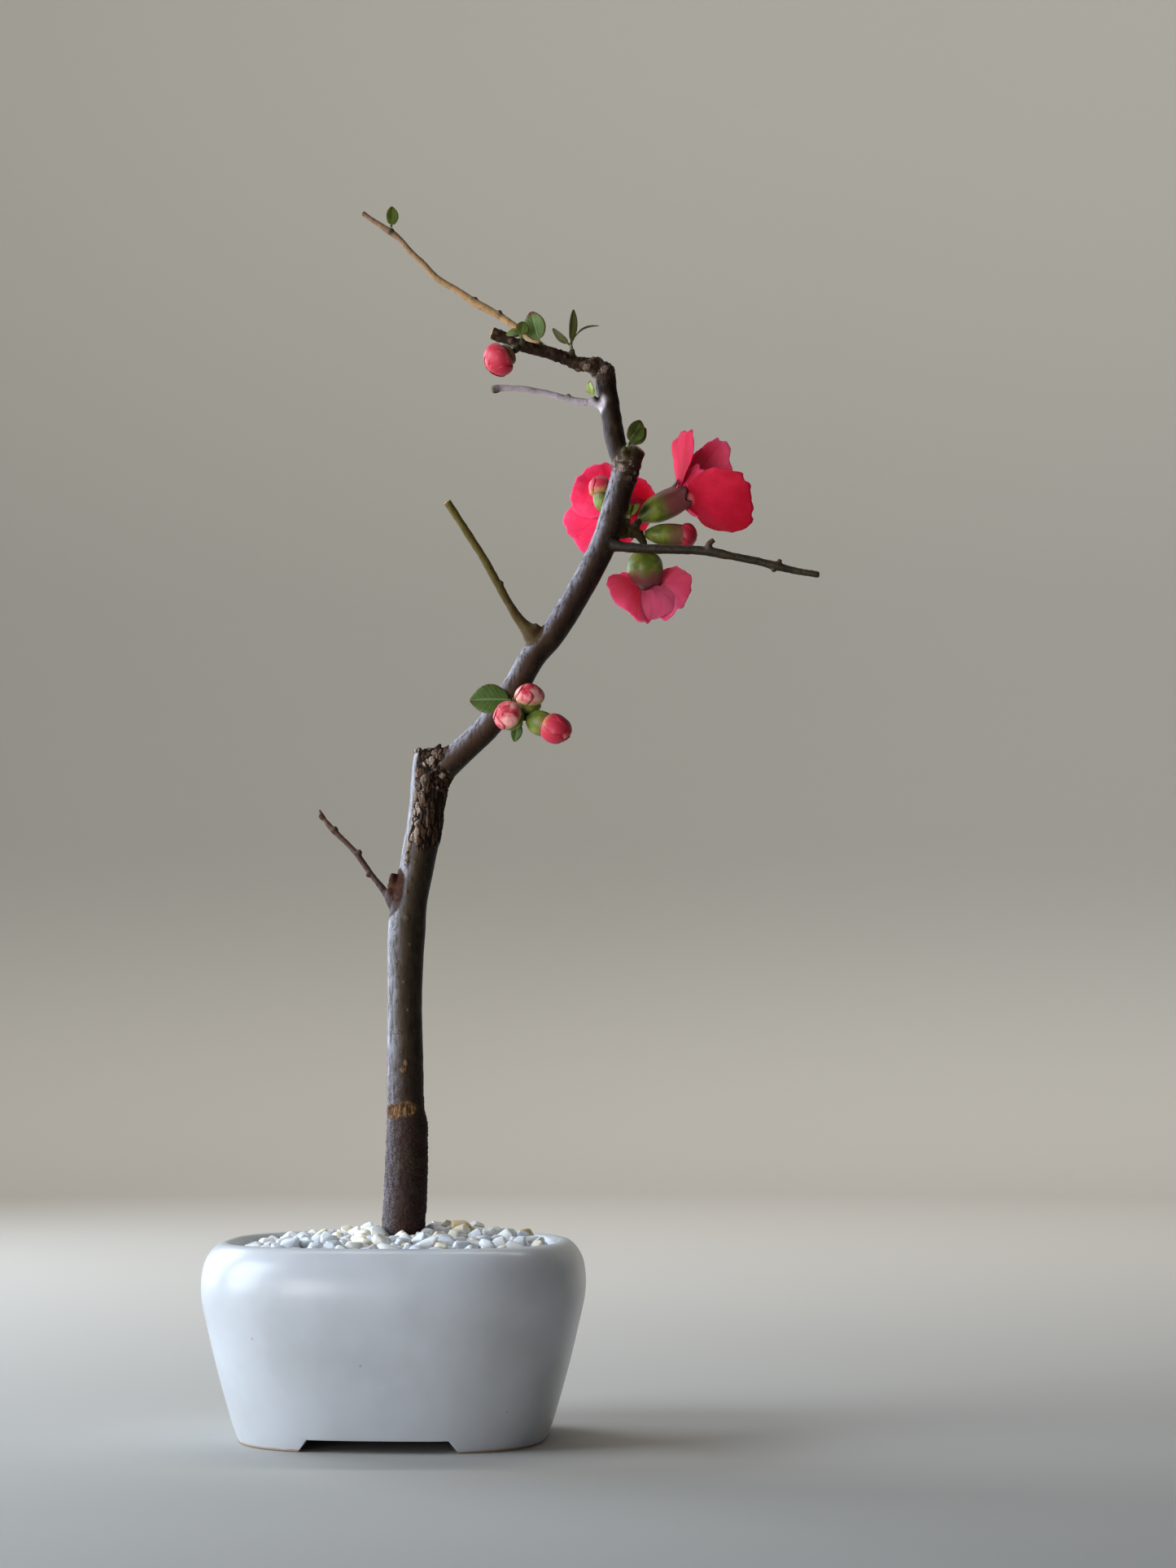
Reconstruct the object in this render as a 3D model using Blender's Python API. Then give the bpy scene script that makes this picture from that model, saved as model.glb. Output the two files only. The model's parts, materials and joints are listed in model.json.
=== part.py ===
"""A flowering quince trained as a slanting bonsai, in a white glazed pot with a dressing of quartz chips.

Sizes and places are in millimetres, measured from the point on the table under the pot's centre:
x to the right, y away from the viewer, z up. The function place turns them into metres from the
origin, which lies on the table under the middle of the whole object.
"""
import math
import random
from collections import namedtuple

import bmesh
import bpy
import numpy as np
from mathutils import Vector, noise

MM = 0.001
POT_CENTRE_X = -47.0
CLEARANCE = 0.3
CLOSE_CLEARANCE = 0.4

POT_WIDTH = 150.0
POT_DEPTH = 126.0
POT_SIDES = 40
PLAN_POWER = 2.8
FLOOR_TOP = 10.5
FLOOR_HALF_WIDTH = 50.0
FOOT_GAP_HEIGHT = 4.7
FOOT_GAP_HALF_BOTTOM = 31.2
FOOT_GAP_HALF_TOP = 27.0
DRAIN_RADIUS = 6.0
# Each level of a profile is its height and the pot's half width there.
UNDERSIDE_PROFILE = [(5.5, 49.0), (4.6, 51.0), (0.0, 52.0)]
OUTER_PROFILE = [(0.0, 60.0), (6.0, 62.4), (27.0, 68.4), (47.0, 73.2), (55.0, 74.8),
                 (62.0, 75.0), (68.6, 73.9), (73.2, 71.4), (75.8, 68.4), (76.5, 66.0)]
INNER_PROFILE = [(76.0, 64.4), (74.2, 63.4), (70.0, 62.8), (40.0, 60.0), (18.0, 57.5), (12.5, 54.5)]
SOIL_PROFILE = [(10.9, 49.4), (12.9, 53.9), (18.2, 56.9), (68.0, 62.0)]

SCREEN_HALF = 13.0
SCREEN_THICKNESS = 0.9
SCREEN_HOLES = 3
SCREEN_HOLE_HALF = 2.8
SCREEN_PITCH = 7.4

SOIL_TOP = 68.0
GRAVEL_EDGE_TOP = 71.6
GRAVEL_HEAP = 7.6
HEAP_CENTRE = (8.0, 9.0)
HEAP_SPREAD = (34.0, 27.2)
BED_HALF = (58.6, 46.6)
PEBBLE_TRIES = 9000
PEBBLE_SPACING = 10.4
PEBBLE_RADIUS = (3.8, 5.2)
PEBBLE_POINTS = 8

TRUNK_X = 3.0
TRUNK_BURIED_RADIUS = 8.6
TRUNK_FOOT = 36.0
BARK_START = 86.0
ROUGH_BARK_TOP = 124.0
# The scar's centre and its half width and half height, both along x and z.
SCAR_CENTRE = (1.8, 128.5)
SCAR_HALF = (5.4, 3.0)
STUMP_BARK = (236.0, 272.0)
STUMP_CENTRE = (12.3, 2.0)
STUMP_RING = 4.6
STUMP_TOP = 271.4
# The angle round the stump and the rise of each plate of bark at its cut top.
STUMP_PLATES = [(20, 1.6), (75, 2.2), (130, 1.2), (200, 2.4), (255, 1.0), (310, 2.0)]
HOLE_SIDES = 24

BLADE_THICKNESS = 0.7
PETAL_LEAN = 11.0
PETAL_FAN = 76.0
CLAW_LIFT = 80.0
CLAW_LENGTH = 2.5
CLAW_HALF_WIDTH = 0.9
PETAL_NOTCH = 0.045
PETAL_CUP = 0.24
PETAL_RIPPLE = (0.5, 0.2)
FILAMENTS = 8
FILAMENT_HEIGHT = 7.4
# Along the calyx: the share of its length and of its rim radius.
CALYX_PROFILE = [(0.0, 0.26), (0.16, 0.60), (0.40, 0.92), (0.72, 1.0), (1.0, 0.93)]
CALYX_WALL = 0.75
CALYX_FLOOR_WALL = 1.3
CALYX_DEPTH = 1.8
BLOOM_LOBE = 1.1
BUD_LOBE = 0.9
SEAT_RADIUS = 1.15

# Each station of a limb is its centre x, y, z and its radius.
TRUNK = [(3.0, 0, TRUNK_FOOT, 8.0), (3.0, 0, 42, 8.6), (3.0, 0, 84, 8.6), (3.6, 0, 92, 8.5),
         (4.0, 0, 108, 8.35), (4.1, 0, 121, 8.1), (3.5, 0, 128, 7.45), (3.1, 0.5, 144.5, 7.3),
         (2.7, 1, 167.4, 7.0), (2.8, 1, 182, 7.1), (3.3, 1, 200, 7.6), (4.4, 1, 210, 7.1),
         (6.7, 1.5, 221.5, 6.85), (8.7, 2, 233.3, 7.1), (10.3, 2, 241.5, 7.2), (11.5, 2, 252.3, 7.4),
         (12.4, 2, 261, 7.8), (12.5, 2, 267, 7.3), (12.2, 2, 271.6, 6.2)]
MAIN_BRANCH = [(12.8, 2, 257, 5.4), (18.3, 0, 264.6, 5.9), (23, -1, 268.4, 5.45), (30.6, -2, 275.2, 5.25),
               (38, -3.5, 282.5, 5.25), (48.3, -5, 297.6, 5.25), (54.5, -5, 308.4, 5.25),
               (61.9, -4.5, 317, 5.25), (70, -3, 330, 5.3), (77.1, -1.5, 343.1, 5.2),
               (83.3, 0, 356.6, 5.2), (87.5, 1, 371.4, 5.2), (91.1, 2, 383.6, 5.3), (93.6, 2, 390.3, 4.9),
               (96.4, 2, 394.2, 3.8)]
UPPER_STEM = [(91.2, 2, 385, 3.4), (89.1, 2, 390, 3.9), (87.4, 3, 396.3, 4.15), (85.4, 4, 407.7, 4.15),
              (83.8, 5, 417, 4.25), (82.9, 5.5, 424, 4.4), (82.2, 5.6, 428.2, 3.9),
              (81.6, 5.6, 430.6, 2.2)]
TOP_BRANCH = [(82.6, 5.6, 426.0, 4.0), (77.3, 5.5, 429.3, 3.4), (71.3, 5, 430.4, 3.0),
              (67, 4.5, 432.1, 2.7), (58.8, 3, 434.7, 2.5), (49.7, 1, 436.8, 2.35), (44.1, 0, 439.1, 2.2),
              (40, -0.7, 441, 2.4), (36.9, -1, 442.4, 2.35)]
TAN_TWIG = [(73.2, 6.5, 429.3, 2.2), (66.1, 12, 432.7, 1.6), (55.8, 15, 440.5, 1.5),
            (45.3, 18, 449.0, 1.5), (37.7, 20, 454.8, 1.55), (27.6, 22, 461.1, 1.75),
            (17.4, 24, 468.5, 1.35), (10.8, 25, 472.9, 1.4), (5.4, 26, 479.0, 1.35),
            (-0.9, 27, 485.4, 1.3), (-5.9, 28, 491.4, 1.25), (-9.8, 28.5, 494.4, 1.45),
            (-14.4, 29, 497.7, 1.2), (-20.0, 29.9, 502.0, 1.1), (-21.2, 30, 503.1, 1.3)]
SILVER_TWIG = [(83.5, 4.5, 412.2, 2.3), (78.8, 3, 413.1, 1.8), (73.9, 2, 413.5, 1.5),
               (68.4, 0, 414.1, 1.4), (59.1, -4, 416, 1.3), (50.6, -8, 416.8, 1.3),
               (42.6, -11, 416.6, 1.3), (39.6, -12, 416, 1.7), (38.3, -12.5, 415.6, 1.4)]
OLIVE_TWIG = [(55.5, -5, 312.5, 3.6), (53.4, -6.5, 317.6, 3.6), (49.8, -8, 321.9, 2.3),
              (46, -10, 327.5, 1.75), (41.1, -13, 336.3, 1.7), (34.5, -16, 348, 1.6),
              (28.3, -19, 357.7, 1.55), (21.4, -22, 368.4, 1.65)]
DARK_TWIG = [(84.5, -1, 354.3, 3.3), (90.1, -4, 352.5, 2.3), (103.7, -8, 350.6, 1.9),
             (119.7, -11, 349.5, 1.8), (127.5, -12.5, 348.1, 1.9), (135.3, -13.5, 346.2, 1.6),
             (143.4, -14.5, 344.3, 1.55), (151.1, -15.5, 342.1, 1.7), (158.8, -16.5, 339.8, 1.4),
             (169, -18, 337.7, 1.3)]
SMALL_TWIG = [(0, 1, 207.5, 3.6), (-3.2, 1.2, 211.6, 2.7), (-6.1, 2, 215, 1.5), (-11.7, 4, 221.7, 1.2),
              (-17.7, 6, 229.8, 1.25), (-22.7, 8, 234.9, 1.1), (-27.9, 9.5, 239.7, 1.25),
              (-32.2, 11, 244.8, 1.0), (-34.4, 12, 248.6, 0.6)]
BROKEN_STUB = [(-0.5, 0.6, 210, 2.6), (-2.2, -0.5, 215.5, 2.2), (-2.0, -1.2, 219.5, 1.8),
               (-1.5, -1.4, 221.3, 1.4)]
BLOOM_SPUR = [(84, 1, 357, 3.8), (88.4, 3.5, 359.8, 2.9), (93, 6.6, 360.8, 2.9), (96, 8.8, 361, 2.3)]
CLUSTER_SPUR = [(43.5, -4.8, 289.5, 3.4), (46.4, -7.6, 287.2, 2.6), (48.6, -9.8, 285.2, 1.8)]
SMALL_KNOBS = [
    [(126.6, -12.6, 348.5, 1.3), (125.0, -13.0, 351.0, 1.3), (127.4, -13.2, 353.2, 1.1)],
    [(152.4, -15.7, 342.0, 1.1), (153.7, -16.2, 344.4, 0.9)],
    [(150.8, -15.5, 342.0, 1.2), (150.9, -15.8, 339.3, 0.8)],
    [(-28.0, 9.5, 239.8, 1.3), (-26.6, 8.2, 240.6, 0.8)],
    [(-17.8, 6.0, 229.9, 1.3), (-16.0, 5.0, 231.0, 0.8)],
    [(40.9, -13.0, 336.5, 1.6), (43.2, -13.6, 336.6, 1.0)],
    [(27.8, 22.0, 461.0, 1.6), (27.2, 21.4, 463.4, 1.0)],
    [(38.2, 19.8, 454.5, 1.5), (37.9, 19.2, 457.0, 0.9)],
    [(68.6, 0.1, 414.1, 1.3), (68.0, -0.6, 416.4, 0.8)],
    [(53.6, -6.6, 317.4, 2.6), (56.8, -8.6, 320.6, 1.4)],
    [(45.2, -0.2, 438.6, 1.6), (45.0, -3.0, 437.9, 1.1)],
    [(76.0, 4.8, 429.6, 3.0), (75.2, 2.6, 427.2, 2.2)],
    [(79.6, 5.6, 428.2, 3.2), (79.0, 5.2, 432.6, 1.8)],
]

Bloom = namedtuple("Bloom", "name root base start end axis rim_radius petals small_petals")
Petal = namedtuple("Petal", "azimuth length width lift_low lift_high lean", defaults=(PETAL_LEAN,))
BLOOMS = [
    Bloom("bloom_left", (87.4, 1, 371), (87.3, 9.0, 371.0), (0, 1, 0), (87.6, 18.2, 372.4),
          (-0.10, 0.97, 0.20), 5.2,
          [Petal(-50, 23.5, 24, 30, 8), Petal(-124, 26, 23, 26, 8), Petal(50, 18.5, 19, 35, 15),
           Petal(-178, 22, 17, 30, 16), Petal(112, 18, 17, 38, 28)],
          [Petal(-85, 13, 10, 58, 44), Petal(0, 13, 10, 60, 46)]),
    Bloom("bloom_right", (95, 8, 361), (96.6, 10.4, 365.8), (0.62, 0.30, 0.72), (112.6, 15.2, 376.0),
          (0.80, 0.15, 0.58), 5.3,
          [Petal(8, 26, 19, 24, 34), Petal(129, 35, 29, 40, 26, -22), Petal(200, 22, 18, 58, 52),
           Petal(250, 24, 19, 62, 52), Petal(302, 30, 24, 53, 44)],
          [Petal(60, 15, 10, 62, 54), Petal(232, 14, 10, 64, 58)]),
    Bloom("bloom_low", (95, 8, 361), (98.2, 10.8, 355.0), (0.02, 0.22, -0.98), (98.4, 15.2, 342.6),
          (-0.05, 0.50, -0.86), 7.0,
          [Petal(152, 20, 19, 18, 62), Petal(222, 20.5, 19, 18, 64), Petal(92, 19, 18, 10, 44),
           Petal(284, 17, 16, 12, 46), Petal(28, 17, 16, -20, 10)],
          [Petal(125, 12, 9, 60, 70), Petal(250, 12, 9, 60, 70)]),
]

Bud = namedtuple("Bud", "name root base axis length radius calyx_length calyx_radius")
BUDS = [
    Bud("bud_rising", (86.4, 1.2, 367.4), (82.3, 8.4, 368.8), (-0.17, 0.08, 0.98), 16.2, 4.4, 8.0, 3.6),
    Bud("bud_half_open", (95, 8, 361), (98.2, 9.9, 360.2), (0.99, 0.12, -0.02), 22.0, 4.7, 14.2, 4.3),
    Bud("bud_cluster_top", (48.4, -9.8, 285.4), (53.4, -12.0, 284.6),
        (0.08, -0.46, 0.88), 12.2, 5.4, 4.6, 4.9),
    Bud("bud_cluster_left", (48.4, -10.0, 285.0), (49.0, -15.0, 280.4),
        (-0.46, -0.82, 0.32), 11.8, 5.4, 4.7, 4.9),
    Bud("bud_cluster_long", (48.6, -9.9, 285.2), (52.9, -15.4, 282.0),
        (0.87, -0.38, -0.36), 21.0, 5.3, 9.6, 5.0),
    Bud("bud_hanging", (46.6, 0.2, 437.6), (46.0, -3.2, 433.6), (-0.76, -0.34, -0.55), 13.6, 6.3, 4.8, 5.1),
]

Leaf = namedtuple("Leaf", "base direction face length width stalk fold curl")
LEAF_NODES = [
    ("leaf_tip", (-9.3, 28.4, 494.3),
     [Leaf((-8.8, 27.4, 495.4), (0.10, -0.12, 0.98), (0.45, -0.88, 0), 9.2, 5.6, 0.14, 24, 16)]),
    ("leaf_big", (56.8, 2.6, 435.6),
     [Leaf((56.2, 1.9, 438.4), (-0.28, -0.08, 0.96), (-0.2, -0.97, -0.12), 13.2, 9.8, 0.10, 14, 14)]),
    ("leaf_curled", (49.6, 0.4, 437.2),
     [Leaf((49.4, -3.0, 438.8), (-0.80, -0.40, 0.46), (-0.2, -0.75, 0.62), 6.6, 5.6, 0.12, 20, 70),
      Leaf((49.4, -3.0, 438.8), (0.30, -0.45, 0.84), (0.2, -0.86, -0.46), 6.4, 5.8, 0.12, 20, 60)]),
    ("leaf_shoot", (69.1, 4.6, 431.6),
     [Leaf((69.2, 4.0, 436.0), (-0.76, -0.20, 0.62), (-0.5, -0.75, -0.4), 10.4, 3.8, 0.20, 26, 14),
      Leaf((69.2, 4.0, 436.0), (0.10, -0.04, 0.99), (0.45, -0.89, 0.0), 15.4, 3.8, 0.18, 30, 10),
      Leaf((69.2, 4.0, 436.0), (0.20, 0.16, 0.96), (-0.9, -0.3, 0.1), 16.4, 3.4, 0.20, 30, 76)]),
    ("leaf_bright", (79.6, 3.1, 413.2),
     [Leaf((78.4, 1.3, 415.7), (-0.42, -0.30, 0.85), (-0.72, -0.66, -0.20), 6.0, 5.0, 0.12, 20, 30)]),
    ("leaf_stub", (92.8, 0.2, 389.6),
     [Leaf((92.0, -4.2, 393.0), (0.50, -0.10, 0.86), (0.35, -0.90, -0.3), 11.4, 8.0, 0.16, 30, 22),
      Leaf((92.0, -4.2, 393.0), (0.76, 0.10, 0.64), (0.3, -0.8, -0.5), 10.4, 6.0, 0.16, 30, 20)]),
    ("leaf_cluster_round", (47.6, -8.6, 287.4),
     [Leaf((46.7, -11.9, 289.9), (-0.99, -0.13, 0.02), (-0.05, -0.97, 0.24), 16.6, 13.0, 0.08, 12, 12)]),
    ("leaf_cluster_small", (48.6, -9.4, 285.0),
     [Leaf((49.3, -9.8, 281.6), (-0.20, -0.10, -0.97), (0.1, -0.98, 0.15), 8.2, 4.8, 0.12, 18, 16)]),
    ("leaf_spur", (88.2, 1.4, 363.0),
     [Leaf((92.3, 2.2, 365.0), (0.55, -0.30, 0.78), (-0.4, -0.9, 0.1), 6.4, 3.8, 0.16, 24, 30),
      Leaf((92.3, 2.2, 365.0), (0.10, -0.50, 0.86), (-0.9, -0.3, 0.1), 4.6, 3.0, 0.18, 24, 20)]),
]


def unit(vector):
    array = np.array(vector, dtype=float)
    return array / np.linalg.norm(array)


def place(point):
    """A point in millimetres from the pot's centre, as metres from the origin."""
    return ((point[0] + POT_CENTRE_X) * MM, point[1] * MM, point[2] * MM)


def clear_scene():
    for item in list(bpy.data.objects):
        bpy.data.objects.remove(item, do_unlink=True)


def finish(name, colour, roughness, metallic=0.0):
    """A plain principled material."""
    material = bpy.data.materials.new(name)
    material.use_nodes = True
    shader = material.node_tree.nodes["Principled BSDF"]
    shader.inputs["Base Color"].default_value = (*colour, 1.0)
    shader.inputs["Roughness"].default_value = roughness
    shader.inputs["Metallic"].default_value = metallic
    return material


def new_object(name, shape, collection=None):
    """An object from a shape, which is a pair of vertex and face lists, with its faces turned outward."""
    vertices, faces = shape
    mesh = bpy.data.meshes.new(name)
    mesh.from_pydata([place(vertex) for vertex in vertices], [], faces)
    shell = bmesh.new()
    shell.from_mesh(mesh)
    bmesh.ops.recalc_face_normals(shell, faces=shell.faces)
    shell.to_mesh(mesh)
    shell.free()
    item = bpy.data.objects.new(name, mesh)
    (collection or bpy.context.scene.collection).objects.link(item)
    return item


def dress(item, material, sharp_angle=38.0):
    """Give an object its material and smooth shading with sharp edges past an angle."""
    item.data.materials.clear()
    item.data.materials.append(material)
    item.data.shade_smooth()
    item.data.set_sharp_from_angle(angle=math.radians(sharp_angle))
    return item


def keep_outer_body(item):
    """Drop loose scraps and sealed hollows, so that one closed body is left."""
    shell = bmesh.new()
    shell.from_mesh(item.data)
    unseen = set(shell.faces)
    bodies = []
    while unseen:
        queue = [unseen.pop()]
        body = list(queue)
        while queue:
            for edge in queue.pop().edges:
                for face in edge.link_faces:
                    if face in unseen:
                        unseen.remove(face)
                        queue.append(face)
                        body.append(face)
        bodies.append(body)
    largest = max(bodies, key=len)
    scraps = [face for body in bodies if body is not largest for face in body]
    bmesh.ops.delete(shell, geom=scraps, context="FACES")
    bmesh.ops.triangulate(shell, faces=shell.faces)
    shell.to_mesh(item.data)
    shell.free()


def fuse(name, shapes, material, solver="EXACT", sharp_angle=38.0):
    """Unite closed shapes into one body."""
    group = bpy.data.collections.new(name + "_shapes")
    bpy.context.scene.collection.children.link(group)
    body = new_object(name, shapes[0])
    for number, shape in enumerate(shapes[1:]):
        new_object(f"{name}_{number}", shape, group)
    union = body.modifiers.new("union", "BOOLEAN")
    union.operation = "UNION"
    union.operand_type = "COLLECTION"
    union.collection = group
    union.solver = solver
    graph = bpy.context.evaluated_depsgraph_get()
    joined = bpy.data.meshes.new_from_object(body.evaluated_get(graph))
    body.modifiers.clear()
    body.data = joined
    joined.name = name
    for item in list(group.objects):
        bpy.data.objects.remove(item, do_unlink=True)
    bpy.data.collections.remove(group)
    keep_outer_body(body)
    return dress(body, material, sharp_angle)


def cut(item, cutter_shape, name):
    """Take a hidden cutter's volume away from an object."""
    cutter = new_object(name, cutter_shape)
    cutter.hide_render = True
    cutter.display_type = "WIRE"
    modifier = item.modifiers.new(name, "BOOLEAN")
    modifier.operation = "DIFFERENCE"
    modifier.object = cutter
    modifier.solver = "EXACT"


def loops_shape(loops, closed=False):
    """A skin through loops of equal length, with flat caps unless it closes on itself."""
    count = len(loops[0])
    vertices = [point for loop in loops for point in loop]
    faces = []
    last = len(loops) if closed else len(loops) - 1
    for row in range(last):
        here, there = row * count, (row + 1) % len(loops) * count
        for side in range(count):
            after = (side + 1) % count
            faces.append((here + side, here + after, there + after, there + side))
    if not closed:
        faces.append(tuple(range(count))[::-1])
        faces.append(tuple(range(len(vertices) - count, len(vertices))))
    return vertices, faces


def plan_loop(half_width, z, inset=(POT_WIDTH - POT_DEPTH) / 2, power=PLAN_POWER):
    """One level of the pot's plan: a superellipse between an oval and a rectangle."""
    points = []
    for side in range(POT_SIDES):
        angle = 2 * math.pi * (side + 0.5) / POT_SIDES
        c, s = math.cos(angle), math.sin(angle)
        x = math.copysign(abs(c) ** (2 / power), c) * half_width
        y = math.copysign(abs(s) ** (2 / power), s) * (half_width - inset)
        points.append((x, y, z))
    return points


def round_loop(radius, z):
    return plan_loop(radius, z, inset=0.0, power=2.0)


def box_shape(low, high):
    """A closed box between two corners."""
    loops = []
    for z in (low[2], high[2]):
        loops.append([(low[0], low[1], z), (high[0], low[1], z), (high[0], high[1], z), (low[0], high[1], z)])
    return loops_shape(loops)


def build_pot(material):
    """The pot: foot, tapered wall, rolled rim, inner wall, floor and drain hole as one closed skin."""
    loops = [plan_loop(half_width, z) for z, half_width in OUTER_PROFILE]
    loops += [plan_loop(half_width, z) for z, half_width in INNER_PROFILE]
    loops.append(plan_loop(FLOOR_HALF_WIDTH, FLOOR_TOP))
    loops.append(round_loop(DRAIN_RADIUS, FLOOR_TOP))
    loops.append(round_loop(DRAIN_RADIUS, UNDERSIDE_PROFILE[0][0]))
    loops += [plan_loop(half_width, z) for z, half_width in UNDERSIDE_PROFILE]
    pot = new_object("pot", loops_shape(loops, closed=True))
    reach = POT_DEPTH
    gap_loops = []
    for z, half in ((-1.0, FOOT_GAP_HALF_BOTTOM), (FOOT_GAP_HEIGHT, FOOT_GAP_HALF_TOP)):
        gap_loops.append([(-half, -reach, z), (half, -reach, z), (half, reach, z), (-half, reach, z)])
    cut(pot, loops_shape(gap_loops), "foot_gap")
    return dress(pot, material, 40.0)


def build_drain_mesh(material):
    """The plastic screen that lies on the floor over the drain hole."""
    bottom = FLOOR_TOP + CLEARANCE
    screen = new_object("drain_mesh", box_shape((-SCREEN_HALF, -SCREEN_HALF, bottom),
                                                (SCREEN_HALF, SCREEN_HALF, bottom + SCREEN_THICKNESS)))
    first = -(SCREEN_HOLES - 1) / 2 * SCREEN_PITCH
    for row in range(SCREEN_HOLES):
        for column in range(SCREEN_HOLES):
            x, y = first + column * SCREEN_PITCH, first + row * SCREEN_PITCH
            low = (x - SCREEN_HOLE_HALF, y - SCREEN_HOLE_HALF, bottom - 1)
            high = (x + SCREEN_HOLE_HALF, y + SCREEN_HOLE_HALF, bottom + SCREEN_THICKNESS + 1)
            cut(screen, box_shape(low, high), f"screen_hole_{row}_{column}")
    return dress(screen, material)


def trunk_hole(low, high):
    """A plain round hole for the trunk, as a closed cylinder."""
    radius = TRUNK_BURIED_RADIUS + CLEARANCE
    loops = []
    for z in (low, high):
        turns = [2 * math.pi * i / HOLE_SIDES for i in range(HOLE_SIDES)]
        loops.append([(TRUNK_X + radius * math.cos(turn), radius * math.sin(turn), z) for turn in turns])
    return loops_shape(loops)


def build_soil(material):
    """The soil up to the gravel, clear of the pot's wall, with a pocket for the screen."""
    loops = [plan_loop(half_width, z) for z, half_width in SOIL_PROFILE]
    soil = new_object("soil", loops_shape(loops))
    half = SCREEN_HALF + CLEARANCE
    pocket_top = FLOOR_TOP + SCREEN_THICKNESS + 2 * CLEARANCE
    cut(soil, box_shape((-half, -half, 0), (half, half, pocket_top)), "screen_pocket")
    cut(soil, trunk_hole(TRUNK_FOOT - CLEARANCE, SOIL_TOP + 9), "soil_hole")
    return dress(soil, material)


def heap_height(x, y):
    """The level of the gravel bed: a low heap, highest just behind the trunk."""
    spread = ((x - HEAP_CENTRE[0]) / HEAP_SPREAD[0]) ** 2 + ((y - HEAP_CENTRE[1]) / HEAP_SPREAD[1]) ** 2
    return GRAVEL_EDGE_TOP + GRAVEL_HEAP * math.exp(-spread / 2)


def pebble_places(generator):
    """Seeded places on the bed, no two nearer than the spacing, up to the pot's inner wall."""
    places = []
    for _ in range(PEBBLE_TRIES):
        x, y = generator.uniform(-59, 59), generator.uniform(-47, 47)
        edge = (abs(x) / BED_HALF[0]) ** PLAN_POWER + (abs(y) / BED_HALF[1]) ** PLAN_POWER
        if edge > 1 or math.hypot(x - TRUNK_X, y) < TRUNK_BURIED_RADIUS + 1.6:
            continue
        if all(math.hypot(x - a, y - b) > PEBBLE_SPACING for a, b in places):
            places.append((x, y))
    return places


def pebble_shape(centre, radius, generator):
    """A broken quartz chip: the hull of a few points round a flattened ball."""
    stretch = (generator.uniform(0.9, 1.25), generator.uniform(0.8, 1.0), generator.uniform(0.62, 0.85))
    turn = generator.uniform(0, math.pi)
    chip = bmesh.new()
    for number in range(PEBBLE_POINTS):
        height = 1 - 2 * (number + 0.5) / PEBBLE_POINTS
        angle = 2.4 * number + generator.uniform(-0.5, 0.5)
        ring = math.sqrt(1 - height * height)
        x, y = ring * math.cos(angle) * stretch[0], ring * math.sin(angle) * stretch[1]
        chip.verts.new((centre[0] + radius * (x * math.cos(turn) - y * math.sin(turn)),
                        centre[1] + radius * (x * math.sin(turn) + y * math.cos(turn)),
                        centre[2] + radius * height * stretch[2]))
    result = bmesh.ops.convex_hull(chip, input=chip.verts)
    spare = [item for item in result["geom_interior"] if isinstance(item, bmesh.types.BMVert)]
    bmesh.ops.delete(chip, geom=spare, context="VERTS")
    chip.verts.index_update()
    vertices = [tuple(vertex.co) for vertex in chip.verts]
    faces = [tuple(vertex.index for vertex in face.verts) for face in chip.faces]
    chip.free()
    return vertices, faces


def build_gravel(material):
    """The quartz chips, half sunk in a heaped bed, fused, with a plain hole for the trunk."""
    generator = random.Random(31)
    bottom = SOIL_TOP + CLEARANCE
    outer = [plan_loop(62.0 - CLOSE_CLEARANCE, bottom), plan_loop(62.2 - CLOSE_CLEARANCE, bottom + 2.0)]
    for share in (0.94, 0.72, 0.48, 0.24):
        loop = plan_loop(62.2 * share, 0.0, inset=12.0 * share)
        outer.append([(x, y, heap_height(x, y)) for x, y, _ in loop])
    shapes = [loops_shape(outer)]
    for x, y in pebble_places(generator):
        radius = generator.uniform(*PEBBLE_RADIUS)
        limit = 1 - (abs(x) / 61.6) ** PLAN_POWER - (abs(y) / 49.6) ** PLAN_POWER
        radius = min(radius, 1.6 + 14 * limit)
        lift = generator.uniform(0.0, 0.45) * radius
        shapes.append(pebble_shape((x, y, heap_height(x, y) + lift), radius, generator))
    gravel = fuse("white_gravel", shapes, material, solver="MANIFOLD", sharp_angle=20.0)
    cut(gravel, trunk_hole(bottom - 9, 100), "gravel_hole")
    return gravel


def smooth_path(stations, step):
    """Rows about a step apart on a smooth curve through the stations, radius included."""
    rows = np.array(stations, dtype=float)
    spans = np.linalg.norm(np.diff(rows[:, :3], axis=0), axis=1)
    slopes = [(rows[1] - rows[0]) / spans[0]]
    for k in range(1, len(rows) - 1):
        slopes.append((rows[k + 1] - rows[k - 1]) / (spans[k] + spans[k - 1]))
    slopes.append((rows[-1] - rows[-2]) / spans[-1])
    result = []
    for k, span in enumerate(spans):
        pieces = max(1, round(span / step))
        for i in range(pieces):
            t = i / pieces
            result.append(hermite(rows[k], slopes[k] * span, rows[k + 1], slopes[k + 1] * span, t))
    result.append(rows[-1])
    return np.array(result)


def path_frames(points):
    """A tangent and two side vectors at each point, carried along without twist."""
    tangents = np.gradient(points, axis=0)
    tangents /= np.linalg.norm(tangents, axis=1)[:, None]
    guess = np.array((0.0, -1.0, 0.0)) if abs(tangents[0][1]) < 0.8 else np.array((0.0, 0.0, 1.0))
    sides = []
    for tangent in tangents:
        guess = guess - tangent * float(guess @ tangent)
        guess = guess / np.linalg.norm(guess)
        sides.append(guess)
    return tangents, np.array(sides), np.cross(tangents, np.array(sides))


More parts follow.
